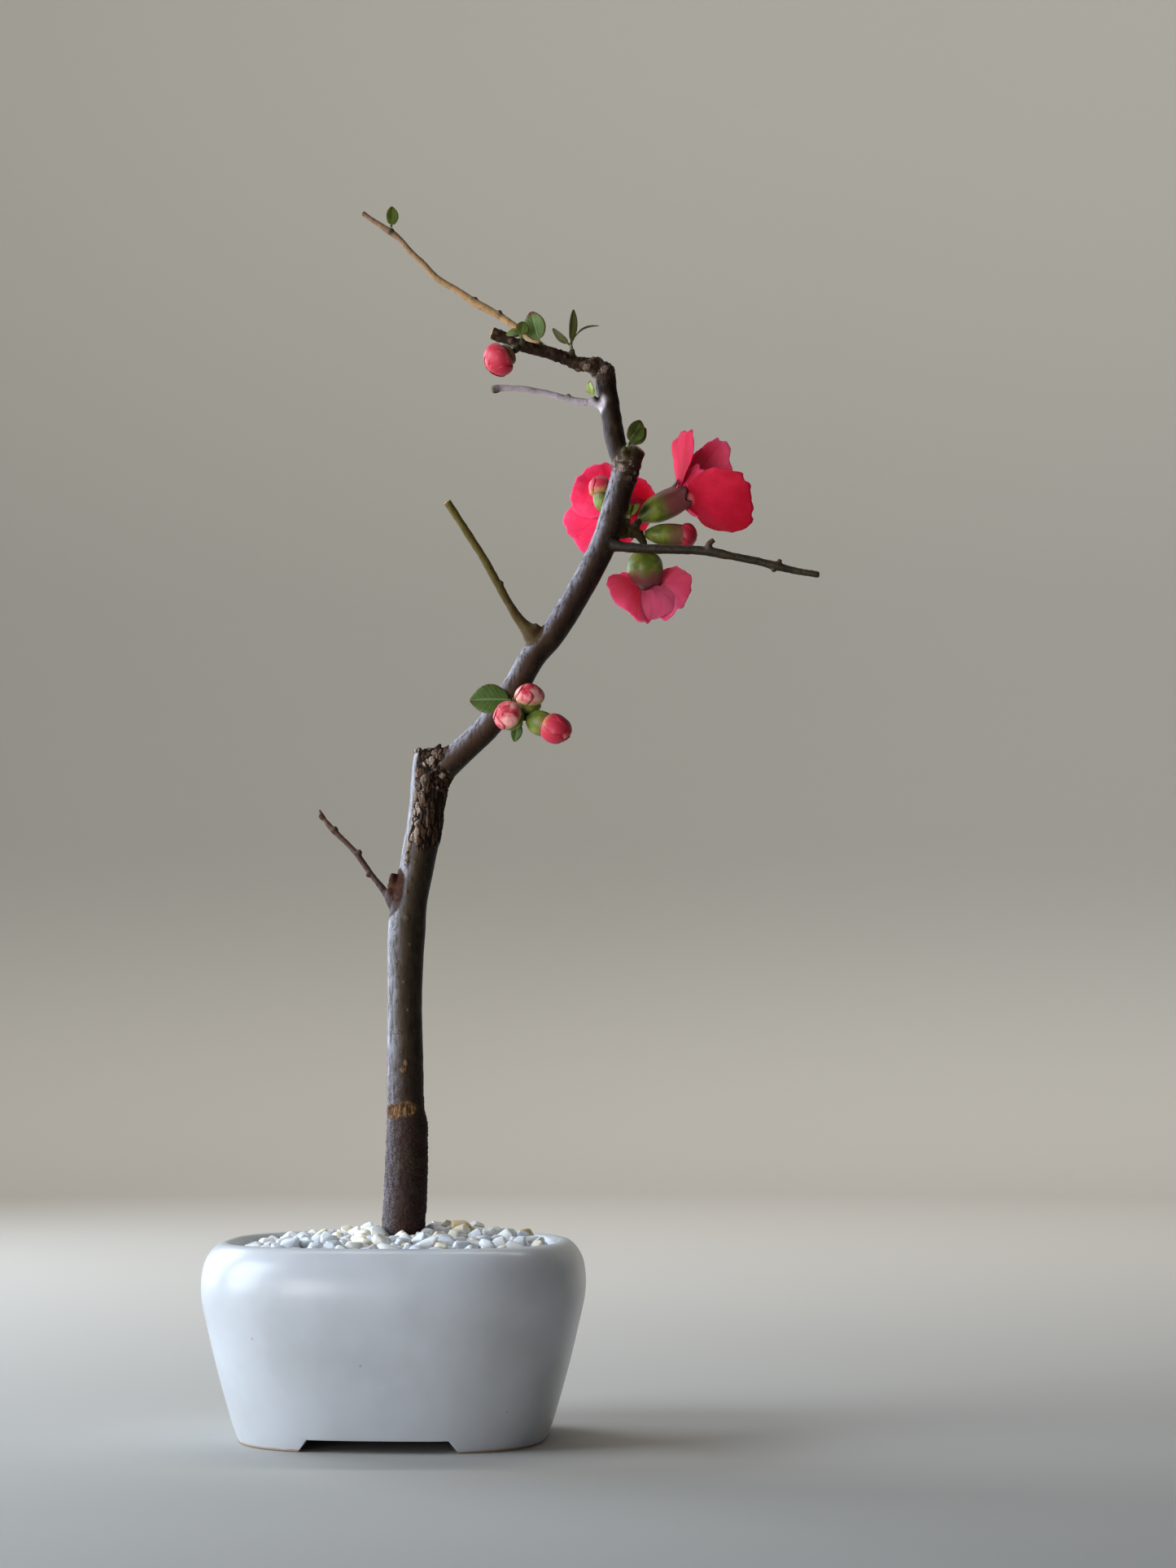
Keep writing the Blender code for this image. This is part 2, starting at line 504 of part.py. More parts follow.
def tube_shape(stations, sides, step, relief=None):
    """A limb: rings of sides along its path, raised by a relief of point and direction."""
    rows = smooth_path(stations, step)
    points = rows[:, :3]
    _, first, second = path_frames(points)
    loops = []
    for centre, radius, one, two in zip(points, rows[:, 3], first, second):
        loop = []
        for side in range(sides):
            angle = 2 * math.pi * side / sides
            outward = one * math.cos(angle) + two * math.sin(angle)
            rise = relief(centre, outward) if relief else 0.0
            loop.append(tuple(centre + outward * (radius + rise)))
        loops.append(loop)
    return loops_shape(loops)


def wave(point, size, shift=0.0):
    """Smooth noise between about -1 and 1 with bumps of a given size."""
    return noise.noise(Vector((point[0] / size + shift, point[1] / size, point[2] / size)))


def trunk_relief(centre, outward):
    """Corky bumps low on the trunk, a scar, lengthwise swells, and cracked plates at the stump."""
    z = centre[2]
    if z < BARK_START:
        return 0.0
    spot = centre + outward * 7.0
    rise = 0.22 * wave(spot, 6.0)
    if z < ROUGH_BARK_TOP:
        rise += 0.42 * wave(spot, 2.4, 5.0)
    scar = math.hypot((spot[0] - SCAR_CENTRE[0]) / SCAR_HALF[0], (z - SCAR_CENTRE[1]) / SCAR_HALF[1])
    if scar < 1.4 and outward[1] < 0:
        rise += 0.6 * math.cos(scar * 2.2)
    low, high = STUMP_BARK
    if low < z < high and outward[0] > -0.55:
        rise += 0.75 * wave(Vector((spot[0] * 1.3, spot[1] * 1.3, z * 0.55)), 2.6, 9.0)
    return rise


def stump_relief(centre, outward):
    return 0.5 * wave(centre + outward * 4.0, 2.2, 3.0)


def branch_relief(centre, outward):
    return 0.16 * wave(centre + outward * 4.0, 4.0, 7.0)


def peg(root, base, axis, radius):
    """A short stalk from inside the wood to the flat seat of a bloom, bud or leaf."""
    base, axis = np.array(base, dtype=float), unit(axis)
    neck = base - axis * 1.8
    stations = [(*root, radius * 1.35), (*neck, radius * 1.05), (*base, radius)]
    return tube_shape(stations, 5, 9.0)


def stump_top():
    """The jagged dark plates of bark that stand up round the cut top of the trunk."""
    shapes = []
    for number, (angle, rise) in enumerate(STUMP_PLATES):
        turn = math.radians(angle)
        x = STUMP_CENTRE[0] + STUMP_RING * math.cos(turn)
        y = STUMP_CENTRE[1] + STUMP_RING * math.sin(turn)
        tilt = 0.9 + 0.3 * number
        foot, waist = (x, y, STUMP_TOP - 5.4, 2.2), (x + 0.3 * tilt, y, STUMP_TOP - 0.4, 1.7)
        top = (x + 0.5 * tilt, y, STUMP_TOP + rise, 0.8)
        shapes.append(tube_shape([foot, waist, top], 4, 5.0))
    return shapes


def build_wood(material):
    """Trunk, branches, twigs, knobs and the seats of all that grows on them, as one body."""
    shapes = [tube_shape(TRUNK, 12, 7.0, trunk_relief),
              tube_shape(MAIN_BRANCH, 10, 7.6, branch_relief),
              tube_shape(UPPER_STEM, 8, 5.2, branch_relief),
              tube_shape(TOP_BRANCH, 6, 5.0, stump_relief)]
    for stations in (TAN_TWIG, SILVER_TWIG, OLIVE_TWIG, DARK_TWIG, SMALL_TWIG):
        shapes.append(tube_shape(stations, 5, 9.0))
    for stations in (BROKEN_STUB, BLOOM_SPUR, CLUSTER_SPUR):
        shapes.append(tube_shape(stations, 7, 3.4, stump_relief))
    shapes += [tube_shape(stations, 4, 4.0) for stations in SMALL_KNOBS]
    shapes += stump_top()
    for bloom in BLOOMS:
        shapes.append(peg(bloom.root, bloom.base, bloom.start, SEAT_RADIUS * 1.3))
    for bud in BUDS:
        shapes.append(peg(bud.root, bud.base, bud.axis, SEAT_RADIUS * 1.2))
    for _, root, leaves in LEAF_NODES:
        shapes.append(peg(root, leaves[0].base, leaf_stem_direction(leaves), SEAT_RADIUS))
    return fuse("trunk_and_branches", shapes, material, solver="MANIFOLD")


def leaf_stem_direction(leaves):
    """The way a leaf's stalk leaves its seat: the leaf's own way, or the mean of a few leaves' ways."""
    return unit(sum(np.array(leaf.direction, dtype=float) for leaf in leaves))


def cross_frame(axis):
    """Two unit vectors square to an axis: the first as near up as it can be."""
    axis = unit(axis)
    up = np.array((0.0, 0.0, 1.0))
    first = unit(up - axis * float(up @ axis))
    return axis, first, np.cross(axis, first)


def hermite(start, start_slope, end, end_slope, t):
    return (start * (2 * t ** 3 - 3 * t ** 2 + 1) + start_slope * (t ** 3 - 2 * t ** 2 + t)
            + end * (3 * t ** 2 - 2 * t ** 3) + end_slope * (t ** 3 - t ** 2))


def calyx_shape(base, start, end, axis, rim_radius, lobe_length, sides=15):
    """A green cup that swells from its stalk, bends from one direction to another and ends in five lobes."""
    base = np.array(base, dtype=float) + unit(start) * CLEARANCE
    end = np.array(end, dtype=float)
    length = float(np.linalg.norm(end - base))
    start_slope, end_slope = unit(start) * length, unit(axis) * length
    centres = [hermite(base, start_slope, end, end_slope, share) for share, _ in CALYX_PROFILE]
    tangents, firsts, _ = path_frames(np.array(centres))
    tangents[0], tangents[-1] = unit(start), unit(axis)
    loops = []
    for (_, size), centre, tangent, first in zip(CALYX_PROFILE, centres, tangents, firsts):
        rise = lobe_length if size == CALYX_PROFILE[-1][1] else 0.0
        loops.append(lobed_loop(centre, tangent, first, rim_radius * size, rise, sides))
    rim = rim_radius * CALYX_PROFILE[-1][1]
    axis = unit(axis)
    loops.append(lobed_loop(end - axis * 0.1, axis, firsts[-1], rim - CALYX_WALL, lobe_length, sides))
    loops.append(lobed_loop(end - axis * CALYX_DEPTH, axis, firsts[-1], rim - CALYX_FLOOR_WALL, 0.0, sides))
    return loops_shape(loops)


def lobed_loop(centre, axis, guess, radius, lobe_length, sides):
    """A ring whose points rise into five round lobes."""
    one = unit(guess - axis * float(guess @ axis))
    two = np.cross(axis, one)
    loop = []
    for side in range(sides):
        angle = 2 * math.pi * (side + 0.5) / sides
        lobe = max(0.0, 0.5 + 0.5 * math.cos(5 * angle)) ** 0.6
        outward = one * math.cos(angle) + two * math.sin(angle)
        rise = lobe * lobe_length
        loop.append(tuple(centre + outward * (radius + 0.1 * rise) + axis * rise))
    return loop


def blade_shape(sheet, rows, columns, thickness=BLADE_THICKNESS):
    """A closed blade of even thickness on a sheet, a function of u from 0 to 1 and v from -1 to 1."""
    small = 0.01
    front, back = [], []
    for row in range(rows + 1):
        for column in range(columns + 1):
            u, v = row / rows, 2 * column / columns - 1
            point = sheet(u, v)
            along = sheet(min(1.0, u + small), v) - sheet(max(0.0, u - small), v)
            across = sheet(u, min(1.0, v + small)) - sheet(u, max(-1.0, v - small))
            normal = unit(np.cross(across, along))
            front.append(tuple(point + normal * thickness / 2))
            back.append(tuple(point - normal * thickness / 2))
    count = len(front)
    width = columns + 1
    faces = []
    for row in range(rows):
        for column in range(columns):
            a = row * width + column
            b, c, d = a + 1, a + width + 1, a + width
            if (row + column) % 2:
                halves = [(a, b, c), (a, c, d)]
            else:
                halves = [(a, b, d), (b, c, d)]
            faces += halves
            faces += [(count + third, count + second, count + first) for first, second, third in halves]
    edge = [row * width for row in range(rows)]
    edge += [rows * width + column for column in range(columns)]
    edge += [row * width + columns for row in range(rows, 0, -1)]
    edge += list(range(columns, 0, -1))
    for here, there in zip(edge, edge[1:] + edge[:1]):
        faces.append((here, there, count + there, count + here))
    return front + back, faces


def petal_sheet(petal, centre, axis, core, number):
    """A round petal on a short claw, with a waved edge and a shallow notch, from the bloom's core outward.

    Its claw first climbs past the calyx, then the petal spreads to its lift angles. Every petal leans
    the same way about its own length, so that one edge lies over its neighbour.
    """
    axis, one, two = cross_frame(axis)
    azimuth = math.radians(petal.azimuth)
    radial = one * math.cos(azimuth) + two * math.sin(azimuth)
    tangential = np.cross(axis, radial)
    half = petal.width / 2
    lean = math.tan(math.radians(petal.lean))
    steps = 24
    outs, ups = [core], [0.0]
    for k in range(steps):
        t = (k + 0.5) / steps
        lift = petal.lift_low + (petal.lift_high - petal.lift_low) * t
        lift += (CLAW_LIFT - petal.lift_low) * math.exp(-t * petal.length / CLAW_LENGTH)
        outs.append(outs[-1] + petal.length / steps * math.cos(math.radians(lift)))
        ups.append(ups[-1] + petal.length / steps * math.sin(math.radians(lift)))

    def sheet(u, v):
        fan = math.radians(PETAL_FAN) * v
        notch = 1 - PETAL_NOTCH * u ** 4 * math.exp(-(fan / 0.22) ** 2)
        along = u * math.cos(fan) ** 1.5 * notch
        side = CLAW_HALF_WIDTH * (1 - u) ** 2 * v + petal.width * u * math.cos(fan) * math.sin(fan)
        place_in_run = along * steps
        out = float(np.interp(place_in_run, range(steps + 1), outs))
        up = float(np.interp(place_in_run, range(steps + 1), ups))
        cup = PETAL_CUP * side * side / half
        broad = PETAL_RIPPLE[0] * math.sin(4.2 * fan + number * 1.7)
        fine = PETAL_RIPPLE[1] * math.sin(9 * fan + number)
        up += cup + u ** 3 * (broad + fine) + lean * side
        return centre + radial * (out - 0.3 * cup) + axis * up + tangential * side

    return sheet


def core_shape(centre, axis, radius, low, high, sides=10):
    """A short round button on an axis between two levels."""
    axis, one, two = cross_frame(axis)
    loops = []
    for level in (low, high):
        loops.append([tuple(centre + axis * level + one * radius * math.cos(2 * math.pi * i / sides)
                            + two * radius * math.sin(2 * math.pi * i / sides)) for i in range(sides)])
    return loops_shape(loops)


def build_petals(bloom, material):
    """Petals in two or three layers round a small core that sits in the calyx."""
    axis = unit(bloom.axis)
    centre = np.array(bloom.end) + axis * 0.1
    core = bloom.rim_radius * CALYX_PROFILE[-1][1] - 1.9
    shapes = [core_shape(centre, axis, core, -1.6, 0.7)]
    for number, petal in enumerate(bloom.petals):
        columns = 6 if petal.width > 22 else 4
        shapes.append(blade_shape(petal_sheet(petal, centre, axis, core - 1.3, number), 4, columns))
    for number, petal in enumerate(bloom.small_petals):
        shapes.append(blade_shape(petal_sheet(petal, centre, axis, core - 1.2, number + 5), 2, 4))
    return fuse(bloom.name + "_petals", shapes, material, solver="MANIFOLD")


def build_stamens(bloom, material):
    """Filaments with their anthers on a small disc inside the petals."""
    axis, one, two = cross_frame(bloom.axis)
    centre = np.array(bloom.end) + axis * 0.1
    seat = 0.7 + CLEARANCE
    shapes = [core_shape(centre, axis, 1.25, seat, seat + 0.7, 7)]
    for number in range(FILAMENTS):
        ring = 1.05 if number % 2 else 0.55
        angle = 2.399 * number
        radial = one * math.cos(angle) + two * math.sin(angle)
        height = FILAMENT_HEIGHT - 1.5 * ring + 0.5 * math.sin(number * 2.2)
        foot = centre + axis * (seat + 0.2) + radial * ring * 0.7
        top = centre + axis * (seat + height) + radial * (ring * 2.0 + 0.5)
        crown = top + axis * 0.8 + radial * 0.1
        end = top + axis * 1.5 + radial * 0.2
        shapes.append(tube_shape([(*foot, 0.38), (*top, 0.34), (*crown, 0.75), (*end, 0.3)], 3, 9.0))
    return fuse(bloom.name + "_stamens", shapes, material)


def bud_calyx_shape(bud):
    """The calyx of a bud, a lobed cup on the bud's own axis."""
    base = np.array(bud.base, dtype=float)
    axis = unit(bud.axis)
    return calyx_shape(base, axis, base + axis * bud.calyx_length, axis, bud.calyx_radius, BUD_LOBE, sides=10)


def bud_petals_shape(bud):
    """Rolled petals that overlap one way round, each with a raised edge that winds towards the tip."""
    axis, one, two = cross_frame(bud.axis)
    floor = bud.calyx_length - CALYX_DEPTH + CLEARANCE
    waist = bud.calyx_length + BUD_LOBE - 0.1
    rim = bud.calyx_radius * CALYX_PROFILE[-1][1]
    foot, inner = rim - CALYX_FLOOR_WALL - CLOSE_CLEARANCE, rim - CALYX_WALL - CLOSE_CLEARANCE
    top = bud.length
    body = bud.radius
    rise = top - waist
    profile = [(floor, foot), (waist, inner), (waist + 0.12 * rise, inner + 0.86 * (body - inner)),
               (waist + 0.38 * rise, body), (waist + 0.66 * rise, body * 0.87),
               (waist + 0.88 * rise, body * 0.54), (top, body * 0.16)]
    shares = (0.0, 0.50, 0.92)
    base = np.array(bud.base, dtype=float)
    loops = []
    for level, radius in profile:
        climb = max(0.0, level - waist) / rise
        loop = []
        for petal in range(5):
            for share in shares:
                angle = 2 * math.pi * (petal + share) / 5 + 1.0 * climb
                edge = 0.11 * (share - 0.45) * min(1.0, 6 * climb)
                outward = one * math.cos(angle) + two * math.sin(angle)
                loop.append(tuple(base + axis * level + outward * radius * (1 + edge)))
        loops.append(loop)
    return loops_shape(loops)


def leaf_sheet(leaf, base):
    """A leaf that widens from its stalk, folded along its midrib and curled back at its tip."""
    direction = unit(leaf.direction)
    face = np.array(leaf.face, dtype=float)
    face = unit(face - direction * float(face @ direction))
    across = np.cross(direction, face)
    half = leaf.width / 2
    fold = math.tan(math.radians(leaf.fold))
    curl = math.radians(leaf.curl)
    stalk = 0.62

    def sheet(u, v):
        body = max(0.0, (u - leaf.stalk) / (1 - leaf.stalk))
        shape = math.sin(math.pi * min(1.0, 0.04 + 0.93 * body ** 0.9)) ** 0.7 if body > 0 else 0.0
        reach = stalk + (half - stalk) * shape
        bend = curl * u
        out = leaf.length * (math.sin(bend) / curl)
        back = leaf.length * ((1 - math.cos(bend)) / curl)
        teeth = 0.05 * half * math.sin(17 * u) * abs(v) * min(1.0, body * 3)
        lift = abs(v) * reach * fold * min(1.0, body * 3)
        return (base + direction * out - face * back + across * ((reach + teeth) * v) + face * lift * 0.6)

    return sheet


def build_leaf_node(name, leaves, material):
    """One leaf, or a few on a short stem, seated just off its peg."""
    way = leaf_stem_direction(leaves)
    seat = np.array(leaves[0].base, dtype=float) + way * CLEARANCE
    if len(leaves) == 1:
        return dress(new_object(name, blade_shape(leaf_sheet(leaves[0], seat), 6, 2)), material)
    stem_top = seat + way * 1.6
    shapes = [tube_shape([(*seat, 0.9), (*stem_top, 0.75)], 6, 2.0)]
    start = seat + way * 1.0
    shapes += [blade_shape(leaf_sheet(leaf, start), 5, 2) for leaf in leaves]
    return fuse(name, shapes, material)


def build_tree():
    bark = finish("bark", (0.085, 0.055, 0.045), 0.55)
    petal_red = finish("petal_red", (0.80, 0.06, 0.16), 0.5)
    calyx_green = finish("calyx_green", (0.22, 0.30, 0.06), 0.45)
    stamen_yellow = finish("stamen_yellow", (0.85, 0.62, 0.18), 0.6)
    bud_pink = finish("bud_pink", (0.85, 0.22, 0.25), 0.5)
    leaf_green = finish("leaf_green", (0.07, 0.17, 0.05), 0.4)
    build_wood(bark)
    for bloom in BLOOMS:
        shape = calyx_shape(bloom.base, bloom.start, bloom.end, bloom.axis, bloom.rim_radius, BLOOM_LOBE)
        dress(new_object(bloom.name + "_calyx", shape), calyx_green)
        build_petals(bloom, petal_red)
        build_stamens(bloom, stamen_yellow)
    for bud in BUDS:
        dress(new_object(bud.name + "_calyx", bud_calyx_shape(bud)), calyx_green)
        dress(new_object(bud.name + "_petals", bud_petals_shape(bud)), bud_pink)
    for name, _, leaves in LEAF_NODES:
        build_leaf_node(name, leaves, leaf_green)


def main():
    clear_scene()
    build_pot(finish("white_glaze", (0.82, 0.84, 0.86), 0.25))
    build_drain_mesh(finish("screen_plastic", (0.05, 0.06, 0.05), 0.6))
    build_soil(finish("soil", (0.07, 0.05, 0.035), 0.95))
    build_gravel(finish("quartz", (0.86, 0.85, 0.80), 0.35))
    build_tree()


main()
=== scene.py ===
"""A flowering quince bonsai in a white glazed pot: the fine surfaces and finishes of the whole tree.

Sizes and places are in millimetres from the point on the ground under the pot's centre, x to the
right, y away from the viewer and z up, unless a comment says otherwise. The function place turns
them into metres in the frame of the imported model.
"""
import json
import random
from collections import namedtuple
from math import cos, pi, radians, sin, sqrt, tan

import bmesh
import bpy
import numpy as np
from bpy.props import FloatProperty, FloatVectorProperty, IntProperty, PointerProperty
from mathutils import Matrix, Vector
from mathutils.kdtree import KDTree

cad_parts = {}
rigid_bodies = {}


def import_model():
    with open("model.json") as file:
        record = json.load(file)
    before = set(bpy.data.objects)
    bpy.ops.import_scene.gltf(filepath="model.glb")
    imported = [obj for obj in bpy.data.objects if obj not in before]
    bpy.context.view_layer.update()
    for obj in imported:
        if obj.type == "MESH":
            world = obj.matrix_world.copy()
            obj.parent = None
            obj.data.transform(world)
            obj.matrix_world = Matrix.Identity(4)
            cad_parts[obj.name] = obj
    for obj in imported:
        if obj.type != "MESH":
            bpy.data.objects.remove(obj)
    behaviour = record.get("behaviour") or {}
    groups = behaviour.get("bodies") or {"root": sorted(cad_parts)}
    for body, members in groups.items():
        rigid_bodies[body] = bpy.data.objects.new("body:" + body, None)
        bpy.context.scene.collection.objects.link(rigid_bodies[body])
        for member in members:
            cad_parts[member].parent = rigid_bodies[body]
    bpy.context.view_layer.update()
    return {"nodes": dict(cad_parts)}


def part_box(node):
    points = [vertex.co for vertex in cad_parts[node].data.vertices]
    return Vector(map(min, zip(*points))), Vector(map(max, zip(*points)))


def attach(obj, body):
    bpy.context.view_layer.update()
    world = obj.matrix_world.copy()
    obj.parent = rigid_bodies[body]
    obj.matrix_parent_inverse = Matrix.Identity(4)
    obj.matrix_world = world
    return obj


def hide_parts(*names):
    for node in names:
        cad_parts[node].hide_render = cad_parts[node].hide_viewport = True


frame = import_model()

bl_info = {
    "name": "Flowering Quince Bonsai",
    "version": (1, 0, 0),
    "blender": (4, 5, 0),
    "location": "View3D > Sidebar > Bonsai",
    "description": "Makes the fine surfaces of a flowering quince bonsai and its pot",
    "category": "Add Mesh",
}

MM = 0.001
POT_LOW, POT_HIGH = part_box("pot")
POT_CENTRE_X = (POT_LOW.x + POT_HIGH.x) / 2 / MM

PICTURE_HEIGHT = 1927
SENSOR = 36.0
FOCAL_PIXELS = 3400.0
CAMERA_PLACE = (0.1061, -1.1, 0.15)
CAMERA_TILT = 95.55
CAMERA_TURN = 4.0

# Each level of a profile is its height and the pot's half width there.
OUTER_PROFILE = [(0.0, 60.0), (6.0, 62.4), (27.0, 68.4), (47.0, 73.2), (55.0, 74.8),
                 (62.0, 75.0), (68.6, 73.9), (73.2, 71.4), (75.8, 68.4), (76.5, 66.0)]
INNER_PROFILE = [(76.0, 64.4), (74.2, 63.4), (70.0, 62.8), (40.0, 60.0), (18.0, 57.5), (12.5, 54.5)]
UNDERSIDE_PROFILE = [(5.5, 49.0), (4.6, 51.0), (0.0, 52.0)]
POT_INSET = 12.0
PLAN_POWER = 2.8
FLOOR_TOP = 10.5
FLOOR_HALF_WIDTH = 50.0
DRAIN_RADIUS = 6.0
FOOT_GAP = [(-1.0, 31.2), (4.7, 27.0)]
FOOT_GAP_REACH = 126.0
FIT_MARGIN = 0.02
FOOT_EDGE_ANGLE = 48
POT_SHARP_ANGLE = 50

GRAVEL_LOW = 68.6
GRAVEL_EDGE_TOP = 71.6
GRAVEL_HEAP = 7.6
HEAP_CENTRE = (8.0, 9.0)
HEAP_SPREAD = (34.0, 27.2)
TRUNK_X = 3.0
TRUNK_HOLE = 9.4
WALL_REACH = 60.8
BED_SIDES = 72
BED_SHARES = (1.0, 1.0, 0.9, 0.75, 0.6, 0.45, 0.3, 0.15, 0.0, 0.0)
BED_DROP = 2.0
SHEET_RINGS = 10
CHIP_KINDS = 14
CHIP_POINTS = 11
CHIP_DENSITY = 260000.0
CHIP_LIFT = 0.7
CHIP_SHARP_ANGLE = 27
# Each layer of chips: its outer and inner share of the way to the wall, its drop, its spacing, its least
# and most size, and what it adds to the seed.
CHIP_LAYERS = [(0.955, 0.0, 0.9, 1.0, 0.8, 1.2, 0), (0.9, 0.03, -0.9, 1.75, 0.85, 1.45, 7)]
# Chips that stand out beside the trunk: x, y, size, turn and tint.
MARKED_CHIPS = [(24.5, 9, 0.95, 0.3, 2.0), (18.5, 12, 0.8, 1.9, 3.0), (19.5, 16, 0.8, 0.8, 0.1),
                (30.5, 14, 0.9, 2.4, 0.5)]
BARK_START = 62.0

# Each station of a limb is its centre x, y, z and its radius.
TRUNK = [(3.0, 0, BARK_START, 8.6), (3.0, 0, 84, 8.6), (3.6, 0, 92, 8.5), (4.0, 0, 108, 8.35),
         (4.1, 0, 121, 8.1), (3.5, 0, 128, 7.45), (3.1, 0.5, 144.5, 7.3), (2.7, 1, 167.4, 7.0),
         (2.8, 1, 182, 7.1), (3.3, 1, 200, 7.6), (4.4, 1, 210, 7.1), (6.7, 1.5, 221.5, 6.85),
         (8.7, 2, 233.3, 7.1), (10.3, 2, 241.5, 7.2), (11.5, 2, 252.3, 7.4), (12.4, 2, 261, 7.8),
         (12.5, 2, 267, 7.3), (12.2, 2, 271.6, 6.2)]
MAIN_BRANCH = [(12.8, 2, 257, 5.4), (18.3, 0, 264.6, 5.9), (23, -1, 268.4, 5.45), (30.6, -2, 275.2, 5.25),
               (38, -3.5, 282.5, 5.25), (48.3, -5, 297.6, 5.25), (54.5, -5, 308.4, 5.25),
               (61.9, -4.5, 317, 5.25), (70, -3, 330, 5.3), (77.1, -1.5, 343.1, 5.2),
               (83.3, 0, 356.6, 5.2), (87.5, 1, 371.4, 5.2), (91.1, 2, 383.6, 5.3), (93.6, 2, 390.3, 4.9),
               (96.4, 2, 394.2, 3.8)]
UPPER_STEM = [(91.2, 2, 385, 3.4), (89.1, 2, 390, 3.9), (87.4, 3, 396.3, 4.15), (85.4, 4, 407.7, 4.15),
              (83.8, 5, 417, 4.25), (82.9, 5.5, 424, 4.4), (82.2, 5.6, 428.2, 3.9),
              (81.6, 5.6, 430.6, 2.2)]
TOP_BRANCH = [(82.6, 5.6, 426.0, 4.0), (77.3, 5.5, 429.3, 3.4), (71.3, 5, 430.4, 3.0),
              (67, 4.5, 432.1, 2.7), (58.8, 3, 434.7, 2.5), (49.7, 1, 436.8, 2.35), (44.1, 0, 439.1, 2.2),
              (40, -0.7, 441, 2.4), (36.9, -1, 442.4, 2.35)]
TAN_TWIG = [(73.2, 6.5, 429.3, 2.2), (66.1, 12, 432.7, 1.6), (55.8, 15, 440.5, 1.5),
            (45.3, 18, 449.0, 1.5), (37.7, 20, 454.8, 1.55), (27.6, 22, 461.1, 1.75),
            (17.4, 24, 468.5, 1.35), (10.8, 25, 472.9, 1.4), (5.4, 26, 479.0, 1.35),
            (-0.9, 27, 485.4, 1.3), (-5.9, 28, 491.4, 1.25), (-9.8, 28.5, 494.4, 1.45),
            (-14.4, 29, 497.7, 1.2), (-20.0, 29.9, 501.9, 1.1), (-21.2, 30, 502.9, 1.3)]
SILVER_TWIG = [(83.5, 4.5, 412.2, 2.3), (78.8, 3, 413.1, 1.8), (73.9, 2, 413.5, 1.5),
               (68.4, 0, 414.1, 1.4), (59.1, -4, 416, 1.3), (50.6, -8, 416.8, 1.3),
               (42.6, -11, 416.6, 1.3), (39.6, -12, 416, 1.7), (38.3, -12.5, 415.6, 1.4)]
OLIVE_TWIG = [(55.5, -5, 312.5, 3.6), (53.4, -6.5, 317.6, 3.6), (49.8, -8, 321.9, 2.3),
              (46, -10, 327.5, 1.75), (41.1, -13, 336.3, 1.7), (34.5, -16, 348, 1.6),
              (28.3, -19, 357.7, 1.55), (21.4, -22, 368.4, 1.65)]
DARK_TWIG = [(84.5, -1, 354.3, 3.3), (90.1, -4, 352.5, 2.3), (103.7, -8, 350.6, 1.9),
             (119.7, -11, 349.5, 1.8), (127.5, -12.5, 348.1, 1.9), (135.3, -13.5, 346.2, 1.6),
             (143.4, -14.5, 344.3, 1.55), (151.1, -15.5, 342.1, 1.7), (158.8, -16.5, 339.8, 1.4),
             (169, -18, 337.7, 1.3)]
SMALL_TWIG = [(0, 1, 207.5, 3.6), (-3.2, 1.2, 211.6, 2.7), (-6.1, 2, 215, 1.5), (-11.7, 4, 221.7, 1.2),
              (-17.7, 6, 229.8, 1.25), (-22.7, 8, 234.9, 1.1), (-27.9, 9.5, 239.7, 1.25),
              (-32.2, 11, 244.8, 1.0), (-34.4, 12, 248.6, 0.6)]
BROKEN_STUB = [(-0.5, 0.6, 210, 2.6), (-2.2, -0.5, 215.5, 2.2), (-2.0, -1.2, 219.5, 1.8),
               (-1.5, -1.4, 221.3, 1.4)]
BLOOM_SPUR = [(84, 1, 357, 3.8), (88.4, 3.5, 359.8, 2.9), (93, 6.6, 360.8, 2.9), (96, 8.8, 361, 2.3)]
CLUSTER_SPUR = [(43.5, -4.8, 289.5, 3.4), (46.4, -7.6, 287.2, 2.6), (48.6, -9.8, 285.2, 1.8)]

# A limb's tint runs from its root to its tip; rough is how corky its skin is, and the last number how silvery
# it is: partly the bark's own silvery film, partly painted sheen on the side the light comes from.
Limb = namedtuple("Limb", "stations root_tint tip_tint rough film", defaults=(0.1,))
LIMBS = [
    Limb(TRUNK, (0.046, 0.031, 0.017), (0.052, 0.035, 0.02), 0.12, 0.9),
    Limb(MAIN_BRANCH, (0.056, 0.028, 0.015), (0.032, 0.016, 0.01), 0.16, 0.85),
    Limb(UPPER_STEM, (0.026, 0.012, 0.007), (0.015, 0.008, 0.005), 0.32, 0.1),
    Limb(TOP_BRANCH, (0.018, 0.009, 0.005), (0.024, 0.012, 0.006), 0.8, 0.0),
    Limb(TAN_TWIG, (0.48, 0.29, 0.11), (0.19, 0.105, 0.06), 0.2, 0.1),
    # The silver twig's pale tint is partly its own silvery bark and partly painted sheen.
    Limb(SILVER_TWIG, (0.68, 0.6, 0.67), (0.66, 0.55, 0.59), 0.12, 0.5),
    Limb(OLIVE_TWIG, (0.075, 0.045, 0.016), (0.12, 0.095, 0.018), 0.22, 0.15),
    Limb(DARK_TWIG, (0.016, 0.01, 0.006), (0.022, 0.017, 0.007), 0.3, 0.1),
    Limb(SMALL_TWIG, (0.028, 0.01, 0.007), (0.095, 0.04, 0.024), 0.3, 0.2),
    Limb(BROKEN_STUB, (0.042, 0.012, 0.007), (0.034, 0.008, 0.005), 0.9, 0.0),
    Limb(BLOOM_SPUR, (0.034, 0.021, 0.011), (0.07, 0.052, 0.018), 0.6, 0.0),
    Limb(CLUSTER_SPUR, (0.05, 0.03, 0.016), (0.065, 0.052, 0.016), 0.6, 0.0),
]
